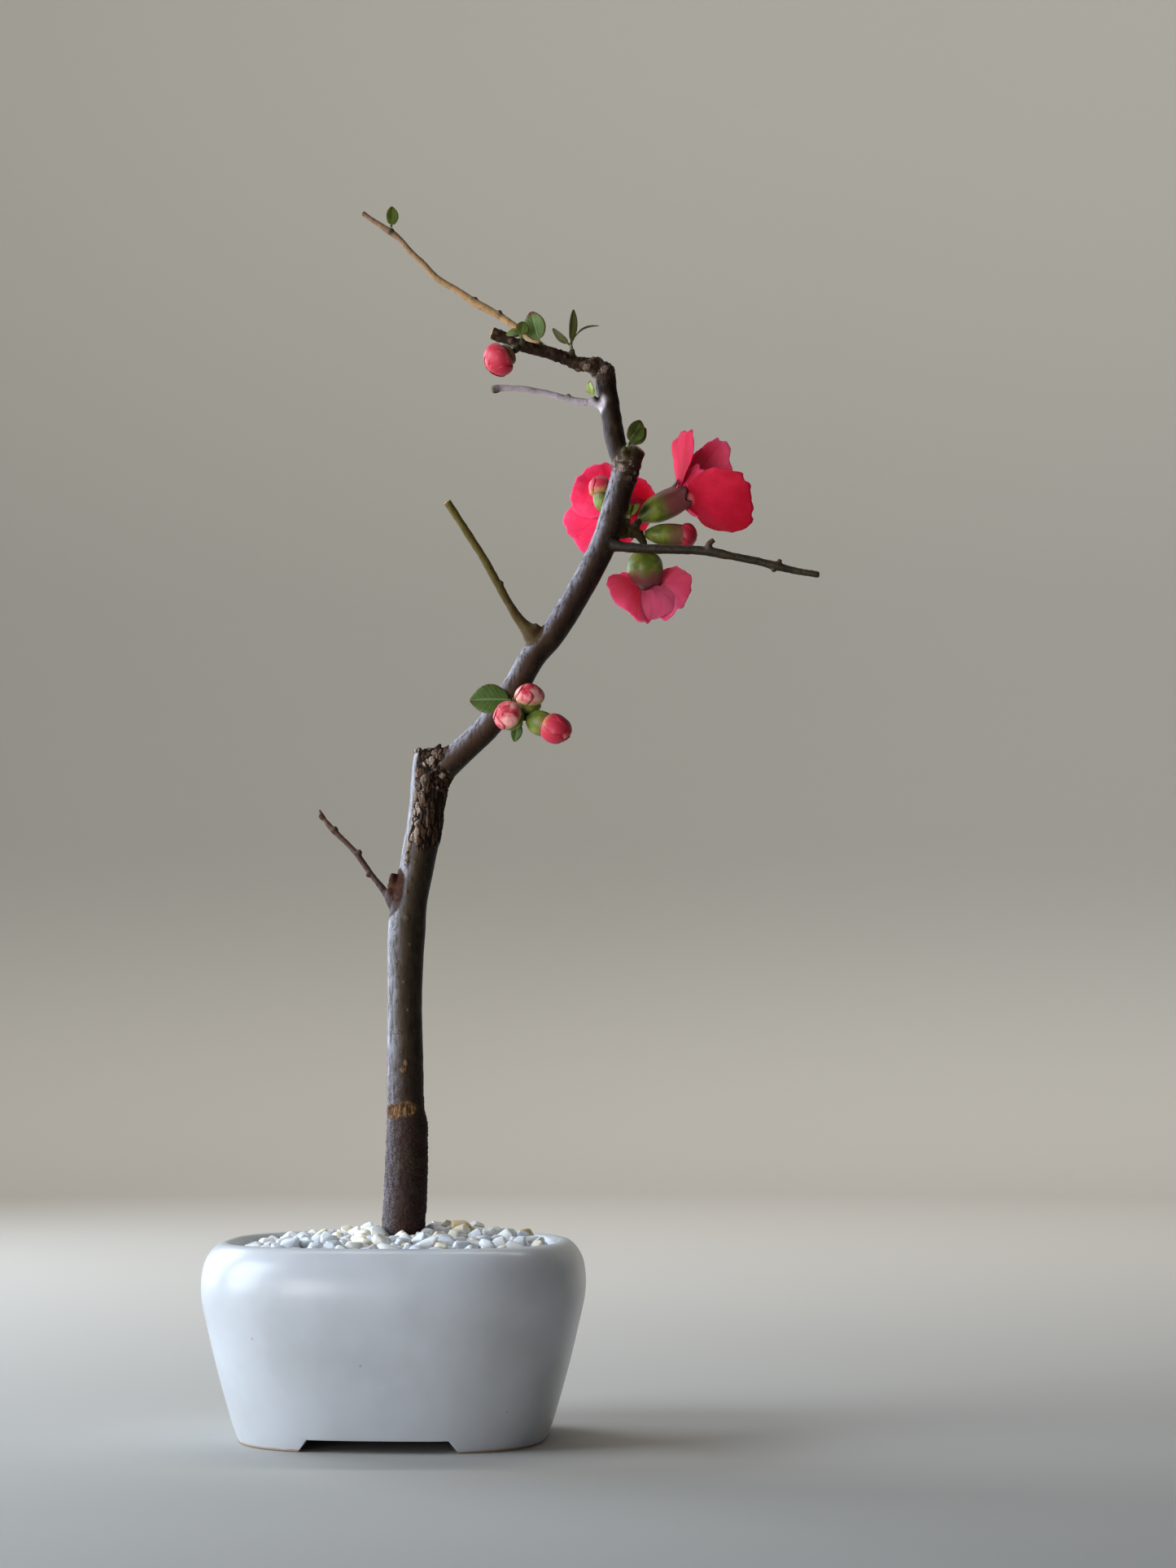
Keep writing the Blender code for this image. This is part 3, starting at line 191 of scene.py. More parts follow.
KNOB_TINTS = ((0.05, 0.032, 0.018), (0.075, 0.038, 0.018))
SEAT_TINTS = ((0.03, 0.019, 0.011), (0.062, 0.052, 0.018))
PLATE_TINTS = ((0.034, 0.019, 0.012), (0.014, 0.009, 0.007))
SMALL_KNOBS = [
    [(126.6, -12.6, 348.5, 1.3), (125.0, -13.0, 351.0, 1.3), (127.4, -13.2, 353.2, 1.1)],
    [(152.4, -15.7, 342.0, 1.1), (153.7, -16.2, 344.4, 0.9)],
    [(150.8, -15.5, 342.0, 1.2), (150.9, -15.8, 339.3, 0.8)],
    [(-28.0, 9.5, 239.8, 1.7), (-26.6, 8.2, 240.6, 1.1)],
    [(-17.8, 6.0, 229.9, 1.5), (-16.0, 5.0, 231.0, 1.0)],
    [(-12.0, 4.0, 222.2, 1.5), (-13.4, 3.4, 220.6, 0.9)],
    [(-32.6, 11.1, 245.2, 1.4), (-34.2, 11.2, 246.4, 1.0)],
    [(40.2, -11.7, 416.1, 1.8), (38.4, -12.5, 415.6, 1.6)],
    [(40.9, -13.0, 336.5, 1.6), (43.2, -13.6, 336.6, 1.0)],
    [(27.8, 22.0, 461.0, 1.6), (27.2, 21.4, 463.4, 1.0)],
    [(38.2, 19.8, 454.5, 1.5), (37.9, 19.2, 457.0, 0.9)],
    [(68.6, 0.1, 414.1, 1.3), (68.0, -0.6, 416.4, 0.8)],
    [(53.6, -6.6, 317.4, 2.6), (56.8, -8.6, 320.6, 1.4)],
    [(45.2, -0.2, 438.6, 1.6), (45.0, -3.0, 437.9, 1.1)],
    [(76.0, 4.8, 429.6, 3.0), (75.2, 2.6, 427.2, 2.2)],
    [(79.6, 5.6, 428.2, 3.2), (79.0, 5.2, 432.6, 1.8)],
]
SEAT_RADIUS = 1.15
CORKY_TINT = (0.036, 0.019, 0.016)
# The side of the wood that faces the light, where the silvery colour is painted sheen, and the side away from
# it, which gets painted shade.
LIT_SIDE = (-0.74, -0.22, 0.5)
SHADED_SIDE = (0.86, -0.12, -0.42)
# The limbs, by their place in the list, that end in a sawn face.
CUT_LIMBS = (1, 3, 6)

ROUGH_BARK_TOP = 124.0
RING_JOINT = (91.4, 2.0, 384.5)
ELBOW = (79.5, 5.5, 427.5)
SCAR_LOBES = [(0.3, 127.0, 3.5, 3.1), (4.7, 127.9, 3.9, 3.0)]
BUD_SCARS = [(4.5, 146.0, 0.9, 1.5), (3.6, 143.2, 1.7, 1.5)]
STUMP_START = 230.0
STUMP_CENTRE = (12.3, 2.0)
# Where the smooth bark of the main branch begins: a point and the way on.
BRANCH_START = ((14.0, 0.0, 266.3), (0.59, 0.0, 0.81))
# The angle round the stump and the rise of each plate of bark at its cut top.
STUMP_PLATES = [(25, 1.8), (75, 2.0), (130, 0.8), (195, 0.5), (262, 1.2), (312, 2.6)]
WOOD_TRIANGLES = 192000
LIMB_SIDES = 28
PLATE_NUMBERS = range(len(LIMBS) + len(SMALL_KNOBS), len(LIMBS) + len(SMALL_KNOBS) + len(STUMP_PLATES))
# Raised pores on the front of the trunk: x, z, half width, half height.
PORES = [(4.2, 214.0, 0.7, 0.7), (4.4, 203.5, 0.8, 1.3), (5.6, 193.0, 0.6, 0.5), (0.6, 186.0, 0.6, 0.5),
         (3.6, 178.0, 0.9, 0.5), (0.2, 170.5, 0.5, 0.5), (5.0, 167.0, 0.5, 0.4), (1.2, 158.0, 1.6, 0.4),
         (-0.8, 199.0, 0.6, 0.5), (7.6, 226.0, 0.7, 0.4), (5.8, 219.0, 0.5, 0.5), (2.6, 150.5, 0.9, 0.4)]

Bloom = namedtuple("Bloom", "name root base start end axis rim_radius petals small_petals lobe flare blush",
                   defaults=(2.2, 0.32, 0.1))
# A petal's tone is painted light: a high tone brightens the petal towards a painted glow of light through it,
# and a tone below zero darkens it with painted shade.
Petal = namedtuple("Petal", "azimuth length width lift_low lift_high lean tone", defaults=(11.0, 0.1))
BLOOMS = [
    Bloom("bloom_left", (87.4, 1, 371), (87.3, 9.0, 371.0), (0, 1, 0), (87.6, 18.2, 372.4),
          (-0.1, 0.97, 0.2), 5.2,
          [Petal(-50, 24, 25, 30, 8), Petal(-124, 26, 25, 26, 8), Petal(50, 19, 20, 35, 15),
           Petal(-178, 19, 17, 34, 22), Petal(112, 18, 17, 38, 28)],
          [Petal(-85, 13, 10, 58, 44), Petal(0, 13, 10, 60, 46)]),
    Bloom("bloom_right", (95, 8, 361), (96.6, 10.4, 365.8), (0.62, 0.3, 0.72), (112.6, 15.2, 376.0),
          (0.8, 0.15, 0.58), 5.9,
          [Petal(-12, 26.2, 28, 30, 31, 16, -0.5), Petal(132, 36, 29.4, 0, 60, -18, -0.95),
           Petal(200, 22, 18, 58, 52), Petal(300, 24, 19, 62, 52), Petal(253, 28, 30, 82, 87, 30, 1.0)],
          [Petal(60, 15, 10, 62, 54), Petal(206, 14, 10, 64, 58)], 3.6, 0.2, 0.24),
    Bloom("bloom_low", (95, 8, 361), (98.2, 10.8, 355.0), (0.02, 0.22, -0.98), (98.4, 15.2, 342.6),
          (-0.05, 0.5, -0.86), 7.4,
          [Petal(208, 21.5, 19, -42, 50, -40, 1.0), Petal(162, 19, 23, -34, 84, 11, 1.1),
           Petal(115, 18.2, 22, -42, 38, 34, 0.8), Petal(292, 14, 15, 30, 60, 11, 0.6),
           Petal(28, 16, 18, 10, 20, 11, 0.6)],
          [Petal(125, 12, 9, 60, 70), Petal(250, 12, 9, 60, 70)], 1.9, 0.34, 0.1),
]
PETAL_FAN = 76.0
PETAL_STEPS = 24
PETAL_NOTCH = 0.045
PETAL_ROUND = 1.7
PETAL_CUP = 0.24
CLAW_LIFT = 80.0
CLAW_LENGTH = 2.5
CLAW_HALF_WIDTH = 0.9
# Along the calyx: the share of its length and of its rim radius.
CALYX_PROFILE = [(0.0, 0.26), (0.16, 0.6), (0.4, 0.92), (0.72, 1.0), (1.0, 0.93)]
CALYX_DEPTH = 1.8
CALYX_SIDES = 70
# Each step over the calyx's lobes: its share of their rise, its wall depth and its place along the chart.
LOBE_STEPS = [(0.45, -0.1, 1.05), (0.8, -0.06, 1.12), (0.97, 0.05, 1.18), (1.0, 0.28, 1.2),
              (0.94, 0.52, 1.15), (0.6, 0.66, 1.1), (0.2, 0.72, 1.05)]
STALK_CLEARANCE = 0.3
GOLDEN_TURN = 2.39996
STAMEN_DISC = 1.35
STAMEN_SPREAD = 0.42

# purple is how far a bud's calyx has turned purple, and cream how pale its petals are; a cream below zero
# darkens them instead with painted shade.
Bud = namedtuple("Bud", "name root base axis length radius calyx_length calyx_radius purple cream")
BUDS = [
    Bud("bud_rising", (86.4, 1.2, 367.4), (82.3, 8.4, 368.8),
        (-0.17, 0.08, 0.98), 16.2, 4.4, 8.0, 3.6, 0.1, 0.0),
    Bud("bud_half_open", (95, 8, 361), (98.2, 9.9, 360.2),
        (0.99, 0.12, -0.02), 22.0, 4.6, 15.6, 4.5, 0.3, -0.6),
    Bud("bud_cluster_top", (48.4, -9.8, 285.4), (53.4, -12.0, 284.6),
        (0.08, -0.46, 0.88), 12.2, 5.4, 4.6, 4.9, 0.0, 0.42),
    Bud("bud_cluster_left", (48.4, -10.0, 285.0), (49.0, -15.0, 280.4),
        (-0.46, -0.82, 0.32), 11.8, 5.4, 4.7, 4.9, 0.0, 0.36),
    Bud("bud_cluster_long", (48.6, -9.9, 285.2), (52.9, -15.4, 282.0),
        (0.87, -0.38, -0.36), 21.0, 5.3, 9.6, 5.0, 0.04, -0.25),
    # The hanging bud's strong calyx purple is partly painted shade, and so is its cream below zero.
    Bud("bud_hanging", (46.6, 0.2, 437.6), (46.0, -3.2, 433.6),
        (-0.76, -0.34, -0.55), 13.6, 6.3, 4.2, 4.5, 0.55, -0.42),
]
BUD_LOBE = 1.3
BUD_FLARE = 0.12
BUD_WRAPS = 5
HEART_SIDES = 30

# A sprig's root lies in the wood, and its base is the seat of its leaves. Its tone runs from deep green to
# yellow green; age is how brown the margins are, and bronze how bronze the leaves are.
Sprig = namedtuple("Sprig", "name root base leaves tone age bronze", defaults=(0.0, 0.25, 0.0))
Leaf = namedtuple("Leaf", "direction face length width stalk fold curl")
SPRIGS = [
    Sprig("leaf_tip", (-9.3, 28.4, 494.3), (-8.8, 27.4, 495.4),
          [Leaf((0.1, -0.12, 0.98), (0.45, -0.88, 0), 9.0, 5.6, 0.14, 24, 16)], 0.45, 0.3),
    Sprig("leaf_big", (56.8, 2.6, 435.6), (56.2, 1.9, 438.4),
          [Leaf((-0.28, -0.08, 0.96), (-0.2, -0.97, -0.12), 13.2, 9.8, 0.1, 14, 14)], 0.12, 0.9),
    Sprig("leaf_curled", (49.6, 0.4, 437.2), (49.4, -3.0, 438.8),
          [Leaf((-0.8, -0.4, 0.46), (-0.2, -0.75, 0.62), 6.6, 5.6, 0.12, 20, 70),
           Leaf((0.3, -0.45, 0.84), (0.2, -0.86, -0.46), 6.4, 5.8, 0.12, 20, 60)], 0.25, 0.9),
    Sprig("leaf_shoot", (69.1, 4.6, 431.6), (69.2, 4.0, 436.0),
          [Leaf((-0.76, -0.2, 0.62), (-0.5, -0.75, -0.4), 10.4, 3.8, 0.2, 26, 14),
           Leaf((0.1, -0.04, 0.99), (0.45, -0.89, 0.0), 15.4, 3.8, 0.18, 30, 10),
           Leaf((0.2, 0.16, 0.96), (-0.9, -0.3, 0.1), 16.4, 3.4, 0.2, 30, 76)], 0.35, 0.2, 0.75),
    Sprig("leaf_bright", (79.6, 3.1, 413.2), (78.4, 1.3, 415.7),
          [Leaf((-0.42, -0.3, 0.85), (-0.72, -0.66, -0.2), 6.0, 5.0, 0.12, 20, 30)], 1.0, 0.9),
    Sprig("leaf_stub", (92.8, 0.2, 389.6), (92.0, -4.2, 393.0),
          [Leaf((0.5, -0.1, 0.86), (0.35, -0.9, -0.3), 11.4, 8.0, 0.16, 30, 22),
           Leaf((0.76, 0.1, 0.64), (0.3, -0.8, -0.5), 10.4, 6.0, 0.16, 30, 20)], 0.1, 0.8, 0.1),
    Sprig("leaf_cluster_round", (47.6, -8.6, 287.4), (46.7, -11.9, 289.9),
          [Leaf((-0.99, -0.13, 0.02), (-0.05, -0.97, 0.24), 16.6, 13.0, 0.08, 12, 12)]),
    Sprig("leaf_cluster_small", (48.6, -9.4, 285.0), (49.3, -9.8, 281.6),
          [Leaf((-0.2, -0.1, -0.97), (0.1, -0.98, 0.15), 8.2, 4.8, 0.12, 18, 16)]),
    Sprig("leaf_spur", (88.2, 1.4, 363.0), (92.3, 2.2, 365.0),
          [Leaf((0.55, -0.3, 0.78), (-0.4, -0.9, 0.1), 6.4, 3.8, 0.16, 24, 30),
           Leaf((0.1, -0.5, 0.86), (-0.9, -0.3, 0.1), 4.6, 3.0, 0.18, 24, 20)], 0.6, 0.3),
]
STALK_HALF_WIDTH = 0.55
VEIN_NET = 0.55

# The stage, in metres: the flat floor's radius, the radius of its bend and the height of its wall.
FLOOR_REACH = 1.9
FLOOR_BEND = 0.75
FLOOR_WALL = 2.2
FLOOR_SIDES = 96
CROWN = (0.08, 0.0, 0.36)
MIDDLE = (0.0, 0.0, 0.26)
# Each light: its setting, its place, its target, its width and height, its colour and its spread.
LIGHTS = [
    ("key", (-1.32, -0.5, 0.6), MIDDLE, (0.8, 1.2), (0.8, 0.9, 1.0), 180.0),
    ("window", (-1.15, 0.7, 0.62), MIDDLE, (0.9, 1.2), (0.74, 0.86, 1.0), 180.0),
    ("fill", (-0.5, -1.05, 0.12), CROWN, (0.5, 0.5), (1.0, 0.95, 0.93), 60.0),
    ("backdrop", (0.1, 0.7, 2.0), (0.0, 2.65, 0.85), (1.8, 0.5), (1.0, 0.96, 0.9), 180.0),
]
SKY_COLOUR = (0.93, 0.95, 1.0, 1.0)

# The fixed colours of the finishes; the settings hold those that a maker may change.
GLAZE_CLOUD = (0.64, 0.65, 0.65)
PINHOLE_GREY = (0.34, 0.32, 0.3)
SCREEN_BLACK = (0.03, 0.035, 0.03)
SCREEN_DUST = (0.09, 0.085, 0.07)
SOIL_DARK = (0.035, 0.022, 0.014)
SOIL_LIGHT = (0.13, 0.085, 0.05)
SOIL_SAND = (0.3, 0.24, 0.17)
SOIL_DAMP = (0.02, 0.014, 0.01)
QUARTZ_BLUE = (0.63, 0.67, 0.73)
QUARTZ_GREY = (0.66, 0.67, 0.66)
QUARTZ_TAN = (0.72, 0.56, 0.34)
QUARTZ_GOLD = (0.84, 0.65, 0.34)
QUARTZ_OLIVE = (0.44, 0.42, 0.31)
QUARTZ_MILK = (0.86, 0.85, 0.82)
QUARTZ_VEIN = (0.62, 0.57, 0.47)
BARK_OCHRE = (0.095, 0.06, 0.022)
BARK_STREAK = (0.008, 0.005, 0.004)
PORE_BROWN = (0.055, 0.032, 0.026)
SCRATCH_AND_GLINT_GREY = (0.36, 0.3, 0.33)
DOT_RING = (0.014, 0.009, 0.007)
DOT_TAN = (0.24, 0.15, 0.08)
FLAKE_CLEFT = (0.013, 0.007, 0.004)
FLAKE_RIDGE = (0.125, 0.062, 0.03)
FLAKE_BROWN = (0.12, 0.066, 0.04)
CORK_RIDGE = (0.17, 0.085, 0.04)
CLEFT_SHADE = (0.006, 0.004, 0.003)
SCAR_DARK = (0.045, 0.02, 0.01)
CUT_HEART = (0.055, 0.03, 0.018)
BARK_SPECK = (0.01, 0.006, 0.005)
PETAL_DEEP = (0.66, 0.006, 0.03)
PETAL_GLOW = (1.0, 0.14, 0.26)
PETAL_SHADE = (0.36, 0.005, 0.02)
PETAL_VEIN = (0.42, 0.004, 0.03)
PETAL_THROAT = (0.92, 0.46, 0.42)
BUD_MARGIN = (0.42, 0.014, 0.034)
BUD_TIP = (0.46, 0.015, 0.035)
BUD_SHADE = (0.16, 0.006, 0.012)
BUD_GREEN = (0.5, 0.46, 0.12)
CALYX_LIGHT = (0.255, 0.295, 0.034)
CALYX_STREAK = (0.1, 0.06, 0.02)
CALYX_RIM = (0.07, 0.007, 0.012)
CALYX_FOOT = (0.07, 0.055, 0.02)
FILAMENT_DARK = (0.86, 0.62, 0.3)
FILAMENT_LIGHT = (0.93, 0.8, 0.48)
ANTHER_DARK = (0.78, 0.46, 0.06)
ANTHER_LIGHT = (0.95, 0.74, 0.2)
LEAF_PATCH = (0.12, 0.17, 0.05)
LEAF_BRONZE = (0.085, 0.05, 0.022)
LEAF_RIB = (0.36, 0.42, 0.2)


def colour_property(label, text, default):
    """A colour that a maker may change."""
    return FloatVectorProperty(name=label, description=text, default=default, subtype="COLOR",
                               min=0.0, max=1.0)


def length_property(label, text, millimetres):
    """A length that a maker may change, stored in metres."""
    return FloatProperty(name=label, description=text, default=millimetres * MM, unit="LENGTH", precision=5)


def power_property(label, text, watts):
    """The power of a light that a maker may change."""
    return FloatProperty(name=label, description=text, default=watts, unit="POWER")


class PotSettings(bpy.types.PropertyGroup):
    """Sizes and colours of the glazed pot."""
    sides: IntProperty(name="Sides", description="Points round the pot's plan", default=144, min=40)
    edge_round: length_property("Edge round", "Radius of the softened foot edges", 0.7)
    glaze: colour_property("Glaze", "Colour of the white glaze", (0.56, 0.585, 0.625))
    glaze_grey: colour_property("Thin glaze", "Colour where the glaze lies thin", (0.5, 0.52, 0.545))
    foot: colour_property("Bare foot", "Colour of the unglazed foot line", (0.42, 0.27, 0.16))


class GravelSettings(bpy.types.PropertyGroup):
    """Sizes and colours of the quartz dressing."""
    spacing: length_property("Spacing", "Least distance between neighbouring chips", 4.1)
    chip_radius: length_property("Chip radius", "Radius of a chip of middle size", 3.35)
    seed: IntProperty(name="Seed", description="Seed of the chips' places", default=11)
    white: colour_property("White", "Colour of the whitest chips", (0.78, 0.79, 0.8))
    cream: colour_property("Cream", "Colour of the warm chips", (0.82, 0.75, 0.6))


class BarkSettings(bpy.types.PropertyGroup):
    """Sizes and colours of the wood."""
    voxel: length_property("Grain", "Size of the mesh of the wood", 0.46)
    # The film colour is also painted sheen: it is laid on the side of the wood that faces the light.
    film: colour_property("Film", "Colour of the silvery film on smooth bark", (0.38, 0.38, 0.46))
    pore: colour_property("Pores", "Colour of the red-brown pores low on the trunk", (0.13, 0.034, 0.022))
    flake: colour_property("Flakes", "Colour of the peeling plates", (0.58, 0.47, 0.38))
    scar: colour_property("Scar", "Colour of the healed scar", (0.25, 0.13, 0.055))
    cut: colour_property("Cut wood", "Colour of a cut end", (0.44, 0.27, 0.15))


class FlowerSettings(bpy.types.PropertyGroup):
    """Sizes and colours of the blooms and buds."""
    thickness: length_property("Petal thickness", "Thickness of a petal", 0.34)
    petal: colour_property("Petal", "Main colour of the petals", (0.88, 0.018, 0.086))
    petal_light: colour_property("Petal light", "Colour towards the margin", (0.95, 0.092, 0.22))
    bud: colour_property("Bud", "Main colour of the buds", (0.52, 0.032, 0.06))
    bud_cream: colour_property("Bud light", "Colour of the buds' paler shoulders", (0.95, 0.47, 0.42))
    calyx: colour_property("Calyx", "Green of the calyx", (0.11, 0.158, 0.018))
    calyx_blush: colour_property("Calyx blush", "Purple of the calyx", (0.215, 0.038, 0.06))
    filaments: IntProperty(name="Filaments", description="Stamens in a bloom", default=24, min=3)


class LeafSettings(bpy.types.PropertyGroup):
    """Sizes and colours of the leaves."""
    thickness: length_property("Leaf thickness", "Thickness of a leaf", 0.32)
    teeth: IntProperty(name="Teeth", description="Teeth on each side of a leaf", default=13, min=0)
    green: colour_property("Green", "Colour of a grown leaf", (0.05, 0.098, 0.013))
    young: colour_property("Young green", "Colour of a young leaf", (0.24, 0.31, 0.035))
    margin: colour_property("Margin", "Colour of a browned margin", (0.14, 0.035, 0.02))


class StudioSettings(bpy.types.PropertyGroup):
    """The floor and the lights."""
    floor: colour_property("Floor", "Colour of the floor", (0.41, 0.395, 0.37))
    wall: colour_property("Backdrop", "Colour of the backdrop above the floor", (0.25, 0.245, 0.225))
    key: power_property("Key light", "Power of the key light", 29.0)
    window: power_property("Window light", "Power of the light from the left and behind", 20.0)
    fill: power_property("Fill light", "Power of the weak light on the crown from below", 1.1)
    backdrop: power_property("Backdrop light", "Power of the light on the backdrop", 60.0)
    sky: FloatProperty(name="Sky", description="Strength of the light from all round", default=0.04)


def floats(values):
    """Numbers as an array to reckon with."""
    return np.array(values, dtype=float)


def unit(vector):
    """A vector's direction, as long as one."""
    array = floats(vector)
    return array / np.linalg.norm(array)


def directions(vectors):
    """The directions of many vectors, one row each."""
    return vectors / np.maximum(np.linalg.norm(vectors, axis=1), 1e-9)[:, None]


def place(points):
    """Points in millimetres from the pot's centre, as metres in the frame."""
    return (floats(points) + (POT_CENTRE_X, 0.0, 0.0)) * MM


def shift(amount):
    """How far a point in the frame lies from the pot's centre, in millimetres."""
    return floats(amount) / MM - (POT_CENTRE_X, 0.0, 0.0)


def linked(name, data):
    """A new object in the scene."""
    item = bpy.data.objects.new(name, data)
    bpy.context.scene.collection.objects.link(item)
    return item


def mark(mesh, label, values):
    """Store one number for every point of a mesh, or the same number for all."""
    attribute = mesh.attributes.new(label, "FLOAT", "POINT")
    attribute.data.foreach_set("value", (np.zeros(len(mesh.vertices)) + values).astype(np.float32))


def new_piece(name, points, faces, material, uv=None, tones=None):
    """A smooth mesh object from points in millimetres, with an optional UV map and point attributes."""
    mesh = bpy.data.meshes.new(name)
    mesh.from_pydata(place(points).tolist(), [], faces)
    mesh.materials.append(material)
    mesh.shade_smooth()
    if uv is not None:
        corners = np.zeros(len(mesh.loops), dtype=np.int32)
        mesh.loops.foreach_get("vertex_index", corners)
        layer = mesh.uv_layers.new(name="UVMap")
        layer.data.foreach_set("uv", np.asarray(uv, dtype=np.float32)[corners].ravel())
    for label, values in (tones or {}).items():
        mark(mesh, label, values)
    return linked(name, mesh)


def hand_over(piece, slot, *nodes):
    """Put a finished piece in the place of its plain solids."""
    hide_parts(*nodes)
    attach(piece, "root")


class Parts:
    """Points and faces gathered from several shapes, with a UV map and one tone for each point."""

    def __init__(self):
        self.points, self.faces, self.uv, self.tone = [], [], [], []
        self.count = 0

    def add(self, points, faces, uv=None, tone=0.0):
        """Take in a shape; its faces count on from the points gathered so far."""
        self.points.append(floats(points))
        self.faces += [tuple(int(corner) + self.count for corner in face) for face in faces]
        self.uv.append(np.zeros((len(points), 2)) if uv is None else uv)
        self.tone.append(np.full(len(points), float(tone)))
        self.count += len(points)

    def piece(self, name, material):
        """One object from all the shapes, with its faces turned outward."""
        return outward(new_piece(name, np.concatenate(self.points), self.faces, material,
                                 np.concatenate(self.uv), {"tone": np.concatenate(self.tone)}))


def loops_faces(rows, count, closed=False):
    """Faces of a skin through rows of count points each, capped unless it closes on itself."""
    faces = []
    for row in range(rows if closed else rows - 1):
        here, there = row * count, (row + 1) % rows * count
        for side in range(count):
            after = (side + 1) % count
            faces.append((here + side, here + after, there + after, there + side))
    if not closed:
        faces.append(tuple(range(count))[::-1])
        faces.append(tuple(range((rows - 1) * count, rows * count)))
    return faces


def outward(item):
    """Turn a closed object's faces outward."""
    shell = bmesh.new()
    shell.from_mesh(item.data)
    bmesh.ops.recalc_face_normals(shell, faces=shell.faces)
    shell.to_mesh(item.data)
    shell.free()
    return item


def modified(item, kind, **values):
    """Give an object a modifier with its settings."""
    modifier = item.modifiers.new(kind.lower(), kind)
    for label, value in values.items():
        setattr(modifier, label, value)
    return item


def baked(item):
    """Replace an object's mesh by what its modifiers make of it, and remove them."""
    graph = bpy.context.evaluated_depsgraph_get()
    mesh = bpy.data.meshes.new_from_object(item.evaluated_get(graph))
    item.modifiers.clear()
    if item.type == "MESH":
        item.data = mesh
        return item
    made = linked(item.name + "_mesh", mesh)
    bpy.data.objects.remove(item)
    return made


def sharpened(item, degrees):
    """Shade an object smooth, with sharp edges where its faces meet at more than an angle."""
    item.data.shade_smooth()
    item.data.set_sharp_from_angle(angle=radians(degrees))
    return item


def hermite(start, start_slope, end, end_slope, t):
    """A point on a smooth curve from a start to an end with a slope at each."""
    return (start * (2 * t ** 3 - 3 * t ** 2 + 1) + start_slope * (t ** 3 - 2 * t ** 2 + t)
            + end * (3 * t ** 2 - 2 * t ** 3) + end_slope * (t ** 3 - t ** 2))


def smooth_rows(stations, step):
    """Rows about a step apart on a smooth curve through the stations; every column is carried along."""
    rows = floats(stations)
    spans = np.linalg.norm(np.diff(rows[:, :3], axis=0), axis=1)
    slopes = [(rows[1] - rows[0]) / spans[0]]
    for k in range(1, len(rows) - 1):
        slopes.append((rows[k + 1] - rows[k - 1]) / (spans[k] + spans[k - 1]))
    slopes.append((rows[-1] - rows[-2]) / spans[-1])
    result = []
    for k, span in enumerate(spans):
        pieces = max(1, round(span / step))
        for i in range(pieces):
            result.append(hermite(rows[k], slopes[k] * span, rows[k + 1], slopes[k + 1] * span, i / pieces))
    result.append(rows[-1])
    return np.array(result)


def smooth_profile(profile, step):
    """A profile of pairs, rounded between its levels."""
    return smooth_rows([(a, b, 0.0) for a, b in profile], step)[:, :2]


def path_frames(points):
    """Two side vectors at each point of a path, carried along without twist."""
    tangents = directions(np.gradient(points, axis=0))
    guess = np.array((0.0, -1.0, 0.0)) if abs(tangents[0][1]) < 0.8 else np.array((0.0, 0.0, 1.0))
    sides = []
    for tangent in tangents:
        guess = unit(guess - tangent * float(guess @ tangent))
        sides.append(guess)
    return np.array(sides), np.cross(tangents, np.array(sides))


def cross_frame(axis):
    """An axis as a unit vector, and two more square to it: the first as near up as it can be."""
    axis = unit(axis)
    up = np.array((0.0, 0.0, 1.0))
    first = unit(up - axis * float(up @ axis))
    return axis, first, np.cross(axis, first)


def turns(sides, offset=0.0):
    """Equal steps round a circle, in radians."""
    return 2 * pi * (np.arange(sides) + offset) / sides


def spokes(angle, one, two):
    """The ways out from an axis at some angles, between the two vectors square to it."""
    return np.outer(np.cos(angle), one) + np.outer(np.sin(angle), two)


def tube(stations, sides, step):
    """Points and faces of a capped tube."""
    rows = smooth_rows(stations, step)
    rings = [row[:3] + spokes(turns(sides), one, two) * row[3]
             for row, one, two in zip(rows, *path_frames(rows[:, :3]))]
    return np.concatenate(rings), loops_faces(len(rows), sides)


TABLE = np.random.default_rng(5).random((4096, 4))


def lattice(cell, seed):
    """Four random numbers for each cell of a lattice."""
    key = cell[..., 0] * 73856093 ^ cell[..., 1] * 19349663 ^ cell[..., 2] * 83492791 ^ seed * 2654435
    return TABLE[key & 4095]


def noise_at(points, size, seed):
    """Smooth noise between -1 and 1 with bumps of a given size, one number or one for each axis."""
    scaled = points / floats(size)
    cell = np.floor(scaled).astype(np.int64)
    part = scaled - cell
    part = part * part * (3 - 2 * part)
    total = np.zeros(len(points))
    for corner in np.ndindex(2, 2, 2):
        corner = np.array(corner)
        weight = np.prod(np.where(corner, part, 1 - part), axis=1)
        total += weight * lattice(cell + corner, seed)[:, 0]
    return total * 2 - 1


def cells_at(points, size, seed):
    """Nearest and second distance to scattered points, in cells, and a random number for the nearest."""
    scaled = points / floats(size)
    cell = np.floor(scaled).astype(np.int64)
    first = np.full(len(points), 9.0)
    second = first.copy()
    chosen = np.zeros(len(points))
    for corner in np.ndindex(3, 3, 3):
        there = cell + np.array(corner) - 1
        draw = lattice(there, seed)
        distance = np.linalg.norm(there + draw[:, :3] - scaled, axis=1)
        nearer = distance < first
        second = np.where(nearer, first, np.minimum(second, distance))
        chosen = np.where(nearer, draw[:, 3], chosen)
        first = np.where(nearer, distance, first)
    return first, second, chosen


def ramp(values, low, high):
    """Smooth steps from 0 at low to 1 at high."""
    t = np.clip((values - low) / (high - low), 0.0, 1.0)
    return t * t * (3 - 2 * t)


def arithmetic(operation, swapped=False):
    """A method that joins a signal and another value by a Math node."""
    def method(self, other):
        return self.wiring.math(operation, *((other, self) if swapped else (self, other)))
    return method


